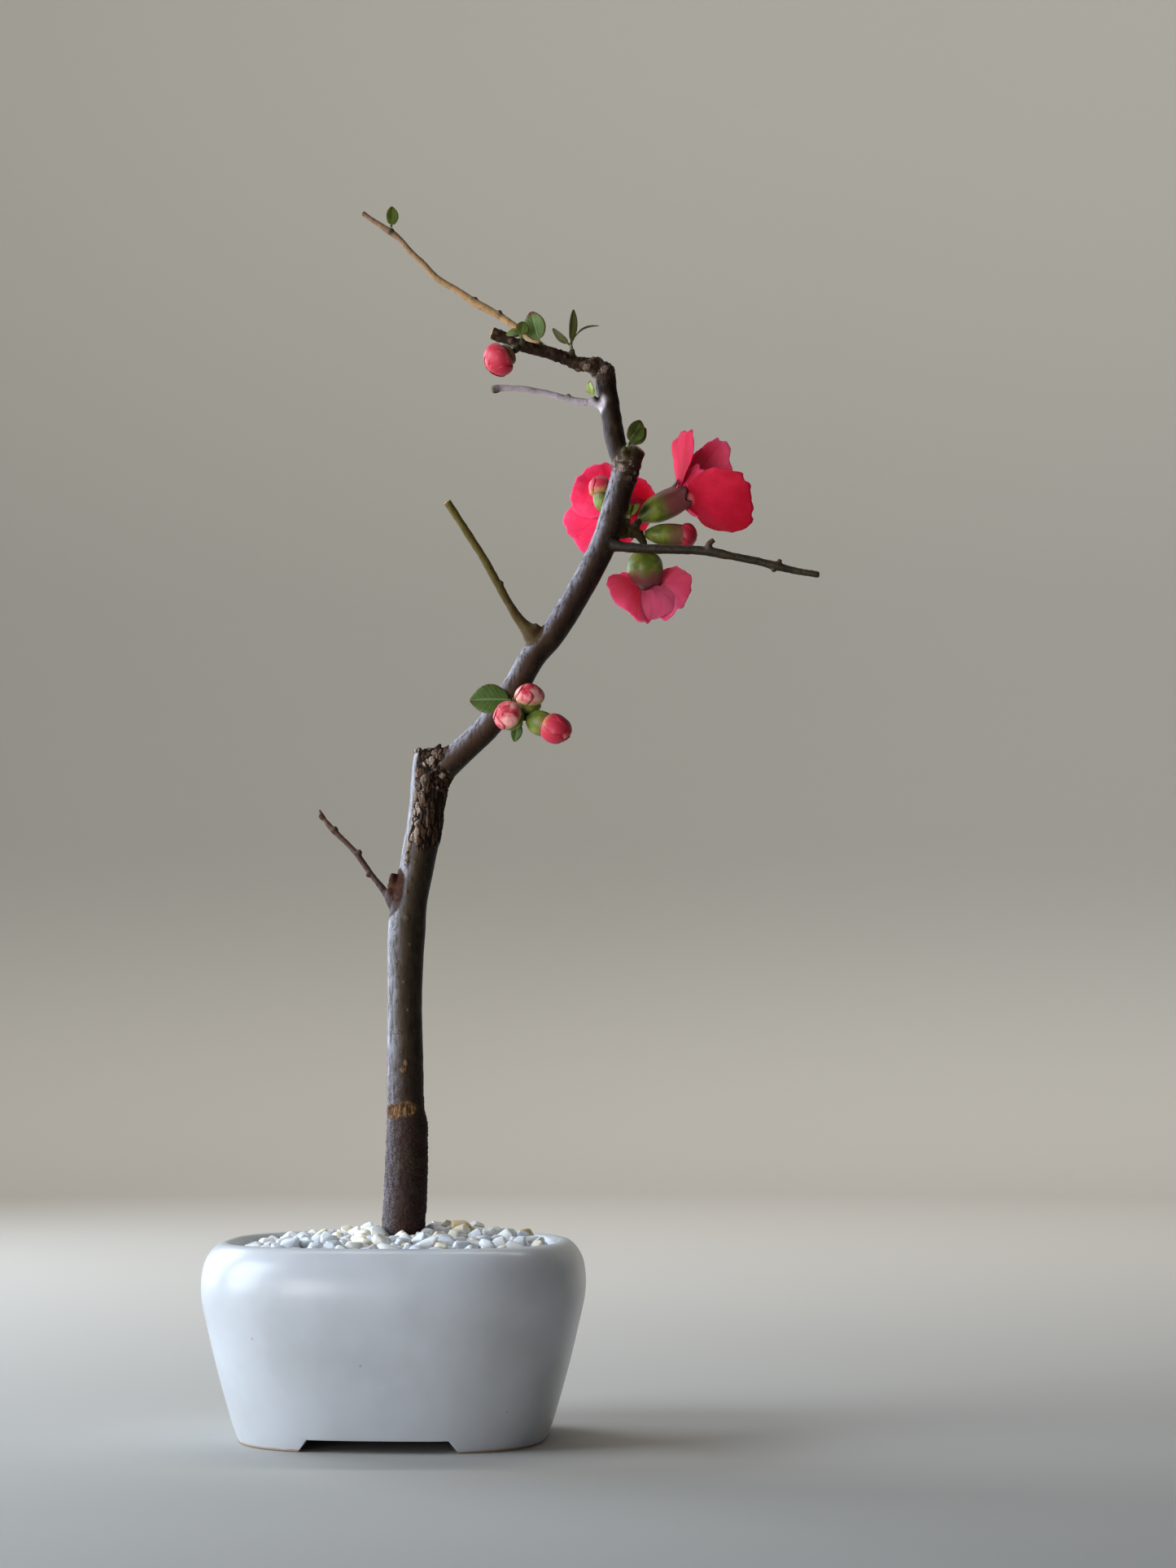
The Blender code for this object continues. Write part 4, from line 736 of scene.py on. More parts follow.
class Signal:
    """A node's output that can be used in arithmetic; each step adds a Math node."""
    __add__ = __radd__ = arithmetic("ADD")
    __sub__, __rsub__ = arithmetic("SUBTRACT"), arithmetic("SUBTRACT", swapped=True)
    __mul__ = __rmul__ = arithmetic("MULTIPLY")
    __truediv__ = arithmetic("DIVIDE")
    __pow__ = arithmetic("POWER")

    def __init__(self, wiring, socket):
        self.wiring = wiring
        self.socket = socket


class Wiring:
    """A node tree that is built up node by node."""

    def __init__(self, tree):
        self.tree = tree

    def node(self, kind, inputs=None, output=0, **options):
        """One output of a node of a type, whose options are set before its sockets."""
        made = self.tree.nodes.new(kind)
        for label, value in options.items():
            setattr(made, label, value)
        for label, value in (inputs or {}).items():
            self.join(made.inputs[label], value)
        return Signal(self, made.outputs[output])

    def join(self, socket, value):
        """Link a signal to a socket, or set the socket's own value."""
        if isinstance(value, Signal):
            self.tree.links.new(value.socket, socket)
        elif socket.type == "RGBA" and len(value) == 3:
            socket.default_value = (*value, 1.0)
        else:
            socket.default_value = value

    def math(self, operation, *values):
        """A Math node."""
        return self.node("ShaderNodeMath", dict(enumerate(values)), operation=operation)

    def scaled(self, vector, factor):
        """A vector made longer or shorter."""
        return self.node("ShaderNodeVectorMath", {0: vector, "Scale": factor}, operation="SCALE")

    def random(self, low, high, seed):
        """A random number between two bounds for each point."""
        return self.node("FunctionNodeRandomValue", {2: low, 3: high, "Seed": seed}, 1, data_type="FLOAT")


class Finish(Wiring):
    """A principled material whose body colour is laid on layer by layer."""

    def __init__(self, name, **constants):
        self.material = bpy.data.materials.new(name)
        self.material.use_nodes = True
        super().__init__(self.material.node_tree)
        self.spot = self.node("ShaderNodeTexCoord", output="Object")
        self.body = None
        self.feed(**constants)

    def feed(self, **inputs):
        """Set or link the shader's inputs; an underscore stands for a space in a name."""
        for label, value in inputs.items():
            self.join(self.tree.nodes["Principled BSDF"].inputs[label.replace("_", " ")], value)

    def done(self, **inputs):
        """Feed the body colour and the last inputs, and give the material."""
        self.feed(Base_Color=self.body, **inputs)
        return self.material

    def bump(self, height, distance, strength):
        """A relief in millimetres that feeds the shader's normal."""
        sizes = {"Height": height, "Distance": distance * MM, "Strength": strength}
        self.feed(Normal=self.node("ShaderNodeBump", sizes, "Normal"))

    def mix(self, factor, first, second):
        """One colour over another by a factor."""
        return self.node("ShaderNodeMix", {0: factor, 6: first, 7: second}, 2, data_type="RGBA")

    def ground(self, factor, first, second):
        """Start the body with one colour over another."""
        self.body = self.mix(factor, first, second)

    def over(self, factor, colour):
        """Lay a colour over the body by a factor."""
        self.body = self.mix(factor, self.body, colour)

    def where(self, value, low, high, colour, share=1.0):
        """Lay a share of a colour over the body as a value rises from low to high."""
        self.over(self.step(value, low, high) * share, colour)

    def stained(self, share, colour):
        """The body as it is so far, with a share of a colour in it."""
        return self.mix(share, self.body, colour)

    def step(self, value, low, high):
        """Smooth steps from 0 at low to 1 at high."""
        return self.node("ShaderNodeMapRange", {"Value": value, "From Min": low, "From Max": high},
                         interpolation_type="SMOOTHSTEP")

    def fall(self, value, low, high):
        """Smooth steps from 1 at low to 0 at high."""
        return 1 - self.step(value, low, high)

    def attribute(self, label, output="Fac"):
        """A value stored on the points of the piece."""
        return self.node("ShaderNodeAttribute", output=output, attribute_name=label)

    def chart(self):
        """How far a point lies along its petal or leaf, and how far across."""
        chart = self.node("ShaderNodeUVMap", uv_map="UVMap")
        return self.split(chart, "X"), self.split(chart, "Y")

    def split(self, vector, axis):
        """One number of a vector."""
        return self.node("ShaderNodeSeparateXYZ", {0: vector}, axis)

    def stretched(self, scale):
        """The place of a point with its height scaled."""
        return self.node("ShaderNodeMapping", {"Vector": self.spot, "Scale": (1.0, 1.0, scale)})

    def noise(self, size, detail=2.0, roughness=0.5, distortion=0.0, at=None):
        """Noise from 0 to 1 with bumps of a size in millimetres."""
        return self.node("ShaderNodeTexNoise",
                         {"Vector": at or self.spot, "Scale": 1 / (size * MM), "Detail": detail,
                          "Roughness": roughness, "Distortion": distortion})

    def lanes(self, across, along, tone, detail):
        """Noise drawn out along a petal."""
        way = self.node("ShaderNodeCombineXYZ", {"X": across, "Y": along, "Z": tone * 9.0})
        return self.node("ShaderNodeTexNoise", {"Vector": way, "Scale": 1.0, "Detail": detail})

    def spots(self, size, at=None):
        """The distance to the nearest of scattered points, and that point's random colour."""
        near = self.node("ShaderNodeTexVoronoi", {"Vector": at or self.spot, "Scale": 1 / (size * MM)})
        return near, Signal(self, near.socket.node.outputs["Color"])


def glaze_finish(pot):
    """A white satin glaze with soft pooling, pinholes and a bare foot line."""
    coat = Finish("white_glaze", Coat_Roughness=0.2, Coat_Weight=0.25, Specular_IOR_Level=0.35)
    cloud = coat.noise(7.0, 4.0, 0.6)
    hole = coat.fall(coat.spots(17.0)[0], 0.022, 0.034)
    bare = coat.fall(coat.split(coat.spot, "Z") / MM + coat.noise(3.0) * 0.7, 0.85, 1.25)
    coat.ground(coat.step(coat.noise(26.0, 3.0), 0.35, 0.72), pot.glaze, pot.glaze_grey)
    coat.where(cloud, 0.62, 0.86, GLAZE_CLOUD, 0.25)
    coat.over(hole * 0.75, PINHOLE_GREY)
    coat.over(bare * 0.85, pot.foot)
    coat.bump(coat.noise(16.0) * 0.6 + coat.noise(2.6) * 0.05 - hole * 0.25, 0.55, 0.55)
    return coat.done(Roughness=0.27 + cloud * 0.1 + bare * 0.5)


def screen_finish():
    """Matt black moulded plastic with a fine weave."""
    coat = Finish("screen_plastic")
    weave = coat.node("ShaderNodeTexWave", {"Vector": coat.spot, "Scale": 500.0, "Distortion": 1.0},
                      "Fac", bands_direction="DIAGONAL")
    dust = coat.noise(1.6, 3.0)
    coat.ground(dust, SCREEN_BLACK, SCREEN_DUST)
    coat.bump(weave, 0.1, 0.4)
    return coat.done(Roughness=0.5 + dust * 0.25)


def soil_finish():
    """Damp brown grit of mixed grains."""
    coat = Finish("soil")
    grain, tint = coat.spots(3.2)
    fine = coat.noise(0.8, 4.0, 0.7)
    coat.ground(coat.split(tint, "X"), SOIL_DARK, SOIL_LIGHT)
    coat.where(coat.split(tint, "Y"), 0.78, 0.9, SOIL_SAND)
    coat.over(fine * 0.5, SOIL_DAMP)
    coat.bump((1 - grain) * 0.8 + fine * 0.3, 1.1, 0.9)
    return coat.done(Roughness=0.78 + fine * 0.2)


def quartz_finish(gravel):
    """Milky quartz: each chip has its own tint, cloudy inside and finely fractured."""
    coat = Finish("quartz", Subsurface_Weight=0.4, Subsurface_Scale=0.003, IOR=1.54,
                  Subsurface_Radius=(1.0, 0.95, 0.85))
    chip = coat.attribute("chip")
    cloud = coat.noise(3.2, 4.0, 0.6, 0.6)
    vein = coat.noise(1.2, 3.0, 0.7)
    coat.ground(coat.step(chip, 0.3, 0.42), QUARTZ_BLUE, gravel.white)
    for low, high, colour in ((0.66, 0.74, gravel.cream), (0.88, 0.9, QUARTZ_GREY),
                              (0.985, 0.99, QUARTZ_TAN), (1.5, 1.6, QUARTZ_GOLD), (2.5, 2.6, QUARTZ_OLIVE)):
        coat.where(chip, low, high, colour)
    coat.where(cloud, 0.52, 0.78, QUARTZ_MILK, 0.45)
    coat.where(vein, 0.66, 0.8, QUARTZ_VEIN, 0.35)
    coat.bump(coat.noise(1.5, 4.0, 0.65) * 0.7 + vein * 0.2, 0.35, 0.65)
    return coat.done(Roughness=0.34 + cloud * 0.28)


def bark_finish(bark):
    """Satin bark that turns corky with red pores low down, flaky at the stump and tinted limb by limb, with a
    silvery film that is painted sheen on the side the light comes from.
    """
    coat = Finish("bark", Coat_Roughness=0.34, Specular_IOR_Level=0.1)
    coat.body = coat.attribute("tint", "Color")
    rough, corky, rise, flake, healed, pale, cut, lit_sheen = [coat.attribute(label) for label in (
        "rough", "corky", "rise", "flake", "healed", "pale", "cut", "film")]
    tall, flat = coat.stretched(0.2), coat.stretched(2.0)
    streak = coat.noise(1.3, 4.0, 0.6, at=tall)
    ridge = coat.noise(0.8, 5.0, 0.65, at=tall)
    mottle = coat.noise(5.5, 4.0, 0.6)
    fine = coat.noise(0.5, 3.0, 0.7)
    coat.where(mottle, 0.42, 0.75, coat.stained(0.6, BARK_OCHRE), 0.45)
    # Painted sheen: the pale film colour lies almost only on the side that faces the light, over the bark's
    # own silvery film.
    film = coat.step(streak * 0.6 + fine * 0.4, 0.34, 0.62) * lit_sheen
    coat.over(film * 0.75, bark.film)
    coat.over(coat.fall(streak, 0.25, 0.46) * 0.7, coat.stained(0.75, BARK_STREAK))
    dash, dash_tint = coat.spots(1.05, at=flat)
    pore = coat.fall(dash, 0.24, 0.46) * coat.step(coat.split(dash_tint, "X"), 0.12, 0.35)
    red = coat.mix(coat.step(mottle, 0.35, 0.6), bark.pore, PORE_BROWN)
    coat.over(pore * corky * 0.9, red)
    # Pale scratches on the corky bark, much stronger on the side that faces the light: partly real scratches,
    # partly a painted glint.
    scratch_and_glint = coat.step(coat.noise(0.55, 3.0, 0.7, at=flat), 0.55, 0.72)
    coat.over(scratch_and_glint * corky * (0.12 + lit_sheen * 1.1), SCRATCH_AND_GLINT_GREY)
    small, small_tint = coat.spots(3.6, at=flat)
    picked = coat.step(coat.split(small_tint, "Y"), 0.35, 0.45)
    dot = coat.fall(small, 0.08, 0.13) * picked
    ring = coat.fall(small, 0.15, 0.2) * picked - dot
    plain_skin = (1 - corky) * (1 - flake) * (1 - cut)
    coat.over(ring * plain_skin * 0.6, DOT_RING)
    coat.over(dot * plain_skin * 0.5, DOT_TAN)
    wall = coat.mix(coat.step(ridge, 0.42, 0.66), FLAKE_CLEFT, FLAKE_RIDGE)
    coat.over(flake, wall)
    chalk = coat.step(fine * 0.6 + ridge * 0.4, 0.42, 0.62)
    coat.over(flake * pale, coat.mix(chalk, FLAKE_BROWN, bark.flake))
    coat.over(coat.step(rise, 0.2, 0.75) * rough * (1 - flake) * 0.4, CORK_RIDGE)
    # Painted shade: the lowest places of the relief, its clefts, cracks and the stump's rim, are darkened
    # almost to black.
    coat.over(coat.fall(rise, -0.85, -0.2) * 0.9, CLEFT_SHADE)
    coat.over(healed, coat.mix(coat.step(ridge, 0.38, 0.62), SCAR_DARK, bark.scar))
    coat.where(cut, 0.1, 0.55, bark.cut)
    coat.where(cut, 0.72, 0.95, CUT_HEART, 0.8)
    coat.where(fine, 0.42, 0.75, coat.stained(0.7, BARK_SPECK), 0.35)
    grain = streak * 0.3 + fine * 0.24 + coat.noise(1.7, 3.0) * 0.4
    skin = grain * (0.35 + rough * 0.9) + pore * corky * 1.3 + dot * plain_skin * 0.5
    coat.bump(skin + ridge * (flake + healed * 0.8) * 1.5, 0.4, 0.8)
    return coat.done(Roughness=0.34 + rough * 0.3 + fine * 0.16 + healed * 0.2,
                     Coat_Weight=coat.fall(rough, 0.25, 0.55) * (0.02 + film * 0.5))


def petal_finish(flower):
    """Velvety petals: fine veins from the claw, paler margins and a pale throat, with a painted glow on
    petals of high tone and painted shade on those of tone below zero.
    """
    coat = Finish("petal_red", Subsurface_Weight=0.42, Subsurface_Scale=0.0022, Specular_IOR_Level=0.08,
                  Subsurface_Radius=(1.0, 0.25, 0.3))
    along, across = coat.chart()
    tone = coat.attribute("tone")
    vein = coat.step(coat.lanes(across * 17.0, along * 1.8, tone, 4.0), 0.5, 0.68)
    cloud = coat.noise(5.0, 3.0, 0.55)
    patch = coat.noise(9.0, 4.0, 0.6)
    rim = coat.step(along + coat.math("ABSOLUTE", across) * 0.25, 0.7, 1.15)
    # Paler towards the margin and in clouds, and towards a painted glow as the tone rises.
    pale_and_glow = rim * 0.35 + coat.step(cloud, 0.42, 0.7) * 0.35 + tone * 0.5
    coat.ground(pale_and_glow, flower.petal, flower.petal_light)
    coat.where(patch, 0.5, 0.68, PETAL_DEEP, 0.5)
    # Painted glow on petals of high tone, and painted shade on those below zero.
    coat.where(tone + patch * 0.5, 0.7, 1.5, PETAL_GLOW, 0.75)
    coat.over(coat.step(tone * -1.0, 0.0, 1.0) * (0.7 + cloud * 0.6), PETAL_SHADE)
    coat.over(vein * 0.26, coat.stained(0.5, PETAL_VEIN))
    coat.over(coat.fall(along, 0.05, 0.2) * 0.5, PETAL_THROAT)
    coat.bump(vein * -0.4 + cloud * 1.2 + coat.noise(0.9) * 0.2, 0.22, 0.6)
    return coat.done(Roughness=0.6 + cloud * 0.12)


def bud_finish(flower):
    """Rolled petals: rose with cream shoulders, red streaks along them and deeper margins, darkened with
    painted shade where the tone is below zero.
    """
    coat = Finish("bud_pink", Subsurface_Weight=0.12, Subsurface_Scale=0.001, Specular_IOR_Level=0.2,
                  Coat_Weight=0.1, Coat_Roughness=0.35, Subsurface_Radius=(1.0, 0.35, 0.35))
    along, across = coat.chart()
    tone = coat.attribute("tone")
    streak = coat.lanes(across * 7.0, along * 1.3, tone, 3.0)
    cloud = coat.noise(4.0)
    cream = coat.step(cloud * 0.7 + tone * 0.35 - along * 0.12, 0.28, 0.56)
    green = coat.fall(along - cream * 0.1, 0.28, 0.52) * coat.step(tone, -0.35, 0.15)
    coat.ground(cream * 0.85, flower.bud, flower.bud_cream)
    coat.where(streak, 0.5, 0.7, flower.bud, 0.45)
    coat.where(coat.math("ABSOLUTE", across), 0.72, 0.98, BUD_MARGIN, 0.75)
    coat.where(along, 0.86, 1.0, BUD_TIP, 0.55)
    # Painted shade: buds whose tone is below zero are darkened, and their green base fades.
    coat.where(tone * -1.0, 0.3, 0.8, BUD_SHADE, 0.7)
    coat.over(green * 0.8, BUD_GREEN)
    coat.bump(streak * 0.7 + coat.noise(0.9) * 0.2, 0.18, 0.5)
    return coat.done(Roughness=0.4 + cloud * 0.12)


def calyx_finish(flower, name="calyx_green", blush_from=0.62, blush_to=1.0, strength=0.9):
    """Fleshy green that turns purple towards the lobes, with fine streaks and a dark rim."""
    coat = Finish(name, Subsurface_Weight=0.08, Subsurface_Scale=0.001, Coat_Weight=0.15,
                  Coat_Roughness=0.3, Specular_IOR_Level=0.35)
    along = coat.chart()[0]
    patch = coat.noise(3.6, 3.0, 0.6)
    streak = coat.noise(0.9, 3.0, 0.6)
    blush = coat.step(along + patch * 0.5 - 0.25 + coat.attribute("tone"), blush_from, blush_to)
    coat.ground(coat.step(patch, 0.4, 0.7), flower.calyx, CALYX_LIGHT)
    coat.over(blush * strength, flower.calyx_blush)
    coat.where(streak, 0.5, 0.8, CALYX_STREAK, 0.35)
    coat.where(along + patch * 0.12, 1.03, 1.14, CALYX_RIM, 0.9)
    coat.over(coat.fall(along, 0.0, 0.16) * 0.6, CALYX_FOOT)
    coat.bump(patch * 0.4 + streak * 0.25, 0.25, 0.5)
    return coat.done(Roughness=0.4 + streak * 0.2)


def stamen_finish():
    """Pale filaments with golden, powdery anthers."""
    coat = Finish("stamen_yellow")
    anther = coat.attribute("anther")
    powder = coat.noise(0.35)
    coat.ground(coat.step(powder, 0.3, 0.7), FILAMENT_DARK, FILAMENT_LIGHT)
    coat.over(anther, coat.mix(powder, ANTHER_DARK, ANTHER_LIGHT))
    coat.bump(powder, 0.12, 0.5)
    return coat.done(Roughness=0.5 + anther * 0.35)


def leaf_finish(foliage):
    """Leaves with a pale midrib, side veins, and a margin that browns with age."""
    coat = Finish("leaf_green", Coat_Weight=0.06, Coat_Roughness=0.28, Specular_IOR_Level=0.25,
                  Subsurface_Weight=0.06, Subsurface_Scale=0.0008)
    along, across = coat.chart()
    side = coat.math("ABSOLUTE", across)
    rib = coat.fall(side, 0.03, 0.1)
    wave = coat.math("SINE", (along - side * 0.24 + coat.noise(3.0) * 0.02) * 50.0)
    vein = coat.step(wave, 0.8, 1.0) * (1 - rib) * coat.step(along, 0.1, 0.25)
    patch = coat.noise(2.6, 3.0, 0.6)
    net = coat.node("ShaderNodeTexVoronoi", {"Vector": coat.spot, "Scale": 1 / (VEIN_NET * MM)},
                    "Distance", feature="DISTANCE_TO_EDGE")
    edge = coat.step(side + patch * 0.16, 0.86, 1.04)
    tip = coat.step(along + patch * 0.1, 0.86, 1.02)
    coat.ground(coat.attribute("tone"), foliage.green, foliage.young)
    coat.where(patch, 0.4, 0.75, coat.stained(0.5, LEAF_PATCH), 0.45)
    coat.over(coat.attribute("bronze") * (0.6 + patch * 0.6), LEAF_BRONZE)
    coat.over(rib * 0.6 + vein * 0.18, coat.stained(0.5, LEAF_RIB))
    coat.over(coat.math("MAXIMUM", edge, tip) * coat.attribute("age"), foliage.margin)
    coat.bump((1 - rib) * 0.5 - vein * 0.5 + coat.step(net, 0.0, 0.12) * 0.16 + patch * 0.3, 0.24, 0.7)
    return coat.done(Roughness=0.33 + patch * 0.2)


def plan_points(half_width, z, inset, sides, power=PLAN_POWER):
    """One level of the pot's plan: a superellipse between an oval and a rectangle."""
    angle = turns(sides, 0.5)
    c, s = np.cos(angle), np.sin(angle)
    x = np.sign(c) * np.abs(c) ** (2 / power) * half_width
    y = np.sign(s) * np.abs(s) ** (2 / power) * (half_width - inset)
    return np.stack([x, y, np.full(sides, float(z))], axis=1)


def make_pot(pot):
    """The pot: tapered wall, rolled rim, floor with its drain hole, and two feet with softened edges."""
    outer = smooth_profile(OUTER_PROFILE + INNER_PROFILE[:3], 2.2)
    inner = smooth_profile(INNER_PROFILE[2:], 6.0)
    fit = (POT_HIGH.x - POT_LOW.x) / 2 / MM / (outer[:, 1].max() + FIT_MARGIN)
    loops = [plan_points(half_width * fit, z, POT_INSET * fit, pot.sides) for z, half_width in outer]
    loops += [plan_points(half_width, z, POT_INSET, pot.sides) for z, half_width in inner[1:]]
    loops.append(plan_points(FLOOR_HALF_WIDTH, FLOOR_TOP, POT_INSET, pot.sides))
    loops += [plan_points(DRAIN_RADIUS, z, 0.0, pot.sides, 2.0) for z in (FLOOR_TOP, UNDERSIDE_PROFILE[0][0])]
    loops += [plan_points(half_width * fit, z, POT_INSET, pot.sides) for z, half_width in UNDERSIDE_PROFILE]
    faces = loops_faces(len(loops), pot.sides, closed=True)
    item = outward(new_piece("glazed_pot", np.concatenate(loops), faces, glaze_finish(pot)))
    gap = [(half * x, FOOT_GAP_REACH * y, z) for z, half in FOOT_GAP
           for x, y in ((-1, -1), (1, -1), (1, 1), (-1, 1))]
    cutter = outward(new_piece("foot_gap", gap, loops_faces(2, 4), item.data.materials[0]))
    modified(item, "BOOLEAN", operation="DIFFERENCE", object=cutter, solver="EXACT")
    modified(item, "BEVEL", width=pot.edge_round, segments=3, limit_method="ANGLE",
             angle_limit=radians(FOOT_EDGE_ANGLE))
    baked(item)
    bpy.data.objects.remove(cutter)
    hand_over(sharpened(item, POT_SHARP_ANGLE), "white_glaze", "pot")


def heap_height(x, y):
    """The level of the gravel bed: a low heap, highest just behind the trunk."""
    spread = ((x - HEAP_CENTRE[0]) / HEAP_SPREAD[0]) ** 2 + ((y - HEAP_CENTRE[1]) / HEAP_SPREAD[1]) ** 2
    return GRAVEL_EDGE_TOP + GRAVEL_HEAP * np.exp(-spread / 2)


def bed_loop(share, drop):
    """A ring of the bed from the trunk's hole, at share 0, to the pot's wall, at share 1."""
    rim = plan_points(WALL_REACH, 0.0, POT_INSET, BED_SIDES)
    hole = plan_points(TRUNK_HOLE, 0.0, 0.0, BED_SIDES, 2.0) + (TRUNK_X, 0, 0)
    ring = hole + (rim - hole) * share
    ring[:, 2] = heap_height(ring[:, 0], ring[:, 1]) - drop
    return ring


def chip_mesh(number, radius):
    """A broken chip: the hull of scattered points on a squashed ball, rounded once."""
    draw = random.Random(number)
    shell = bmesh.new()
    stretch = (draw.uniform(0.95, 1.5), draw.uniform(0.7, 1.0), draw.uniform(0.55, 0.85))
    for k in range(CHIP_POINTS):
        height = 1 - 2 * (k + 0.5) / CHIP_POINTS
        angle = 2.4 * k + draw.uniform(-0.6, 0.6)
        ring = sqrt(1 - height * height)
        reach = radius * draw.uniform(0.92, 1.3)
        shell.verts.new((reach * ring * cos(angle) * stretch[0],
                         reach * ring * sin(angle) * stretch[1], reach * height * stretch[2]))
    hull = bmesh.ops.convex_hull(shell, input=shell.verts)
    spare = [item for item in hull["geom_interior"] if isinstance(item, bmesh.types.BMVert)]
    bmesh.ops.delete(shell, geom=spare, context="VERTS")
    bmesh.ops.bevel(shell, geom=shell.edges[:], offset=radius * 0.1, segments=1, affect="EDGES",
                    clamp_overlap=True)
    bmesh.ops.recalc_face_normals(shell, faces=shell.faces)
    mesh = bpy.data.meshes.new(f"chip_{number}")
    shell.to_mesh(mesh)
    shell.free()
    mesh.shade_smooth()
    return mesh


def new_tree(name, sockets):
    """A Geometry Nodes tree with a geometry input, named inputs and a geometry output."""
    tree = bpy.data.node_groups.new(name, "GeometryNodeTree")
    tree.interface.new_socket(name="Geometry", in_out="INPUT", socket_type="NodeSocketGeometry")
    for label, kind in sockets.items():
        tree.interface.new_socket(name=label, in_out="INPUT", socket_type="NodeSocket" + kind)
    tree.interface.new_socket(name="Geometry", in_out="OUTPUT", socket_type="NodeSocketGeometry")
    wiring = Wiring(tree)
    entry = tree.nodes.new("NodeGroupInput")
    return wiring, {socket.name: Signal(wiring, socket) for socket in entry.outputs if socket.name}


def close_tree(wiring, geometry, material):
    """End a tree in real, smooth geometry with its material."""
    real = wiring.node("GeometryNodeRealizeInstances", {"Geometry": geometry})
    dressed = wiring.node("GeometryNodeSetMaterial", {"Geometry": real, "Material": material})
    last = wiring.tree.nodes.new("NodeGroupOutput")
    wiring.tree.links.new(dressed.socket, last.inputs[0])
    return wiring.tree


def grow(item, tree, values):
    """Run a tree on an object with its inputs set by socket, and keep the result as a plain mesh."""
    modifier = item.modifiers.new(tree.name, "NODES")
    modifier.node_group = tree
    for socket in tree.interface.items_tree:
        if socket.in_out == "INPUT" and socket.name in values:
            modifier[socket.identifier] = values[socket.name]
    return baked(item)


def scatter_tree():
    """Chips on the faces of a bed: no two nearer than a spacing, turned, sized and tinted at random."""
    wiring, given = new_tree("scatter_chips", {
        "Chips": "Collection", "Spacing": "Float", "Density": "Float", "Least size": "Float",
        "Most size": "Float", "Lift": "Float", "Seed": "Int", "Material": "Material"})
    seed = given["Seed"]
    points = wiring.node("GeometryNodeDistributePointsOnFaces",
                         {"Mesh": given["Geometry"], "Distance Min": given["Spacing"],
                          "Density Max": given["Density"], "Seed": seed},
                         "Points", distribute_method="POISSON")
    turn = wiring.node("FunctionNodeRandomValue",
                       {0: (-0.7, -0.7, 0.0), 1: (0.7, 0.7, 2 * pi), "Seed": seed},
                       data_type="FLOAT_VECTOR")
    size = wiring.random(given["Least size"], given["Most size"], seed + 1)
    lift = wiring.random(given["Lift"] * -1.0, given["Lift"], seed + 2)
    offset = wiring.node("ShaderNodeCombineXYZ", {"Z": lift})
    raised = wiring.node("GeometryNodeSetPosition", {"Geometry": points, "Offset": offset})
    chips = wiring.node("GeometryNodeCollectionInfo",
                        {"Collection": given["Chips"], "Separate Children": True, "Reset Children": True})
    placed = wiring.node("GeometryNodeInstanceOnPoints",
                         {"Points": raised, "Instance": chips, "Pick Instance": True, "Rotation": turn,
                          "Scale": size})
    tinted = wiring.node("GeometryNodeStoreNamedAttribute",
                         {"Geometry": placed, "Name": "chip", "Value": wiring.random(0.0, 1.0, seed + 3)},
                         data_type="FLOAT", domain="INSTANCE")
    return close_tree(wiring, tinted, given["Material"])


def joined(name, items):
    """One object from several, which are removed."""
    shell = bmesh.new()
    mesh = bpy.data.meshes.new(name)
    for material in items[0].data.materials:
        mesh.materials.append(material)
    for item in items:
        shell.from_mesh(item.data)
        bpy.data.objects.remove(item)
    shell.to_mesh(mesh)
    shell.free()
    return linked(name, mesh)


def make_gravel(gravel):
    """Quartz chips scattered in two layers over a heaped bed round the trunk."""
    material = quartz_finish(gravel)
    loops = [bed_loop(share, BED_DROP) for share in BED_SHARES]
    loops[0][:, 2] = loops[-1][:, 2] = GRAVEL_LOW
    faces = loops_faces(len(loops), BED_SIDES, closed=True)
    items = [outward(new_piece("bed", np.concatenate(loops), faces, material))]
    group = bpy.data.collections.new("chips")
    for number in range(CHIP_KINDS):
        chip = bpy.data.objects.new(f"chip_{number}", chip_mesh(number, gravel.chip_radius))
        group.objects.link(chip)
    for outer, inner, drop, spacing, least, most, seed in CHIP_LAYERS:
        rings = [bed_loop(inner + (outer - inner) * k / (SHEET_RINGS - 1), drop) for k in range(SHEET_RINGS)]
        faces = [face for face in loops_faces(len(rings), BED_SIDES) if len(face) == 4]
        sheet = new_piece("sheet", np.concatenate(rings), faces, material)
        items.append(grow(sheet, scatter_tree(), {
            "Chips": group, "Spacing": gravel.spacing * spacing, "Density": CHIP_DENSITY,
            "Least size": least, "Most size": most, "Lift": CHIP_LIFT * MM, "Seed": gravel.seed + seed,
            "Material": material}))
    for number, (x, y, size, turn, tint) in enumerate(MARKED_CHIPS):
        mesh = chip_mesh(20 + number, gravel.chip_radius * size)
        mesh.transform(Matrix.Rotation(turn, 4, "Z"))
        mesh.transform(Matrix.Translation(place((x, y, float(heap_height(x, y)) + 3.0))))
        mesh.materials.append(material)
        mark(mesh, "chip", tint)
        items.append(linked("marked_chip", mesh))
    item = joined("quartz_gravel", items)
    for chip in list(group.objects):
        bpy.data.objects.remove(chip)
    bpy.data.collections.remove(group)
    hand_over(sharpened(item, CHIP_SHARP_ANGLE), "quartz", "white_gravel")


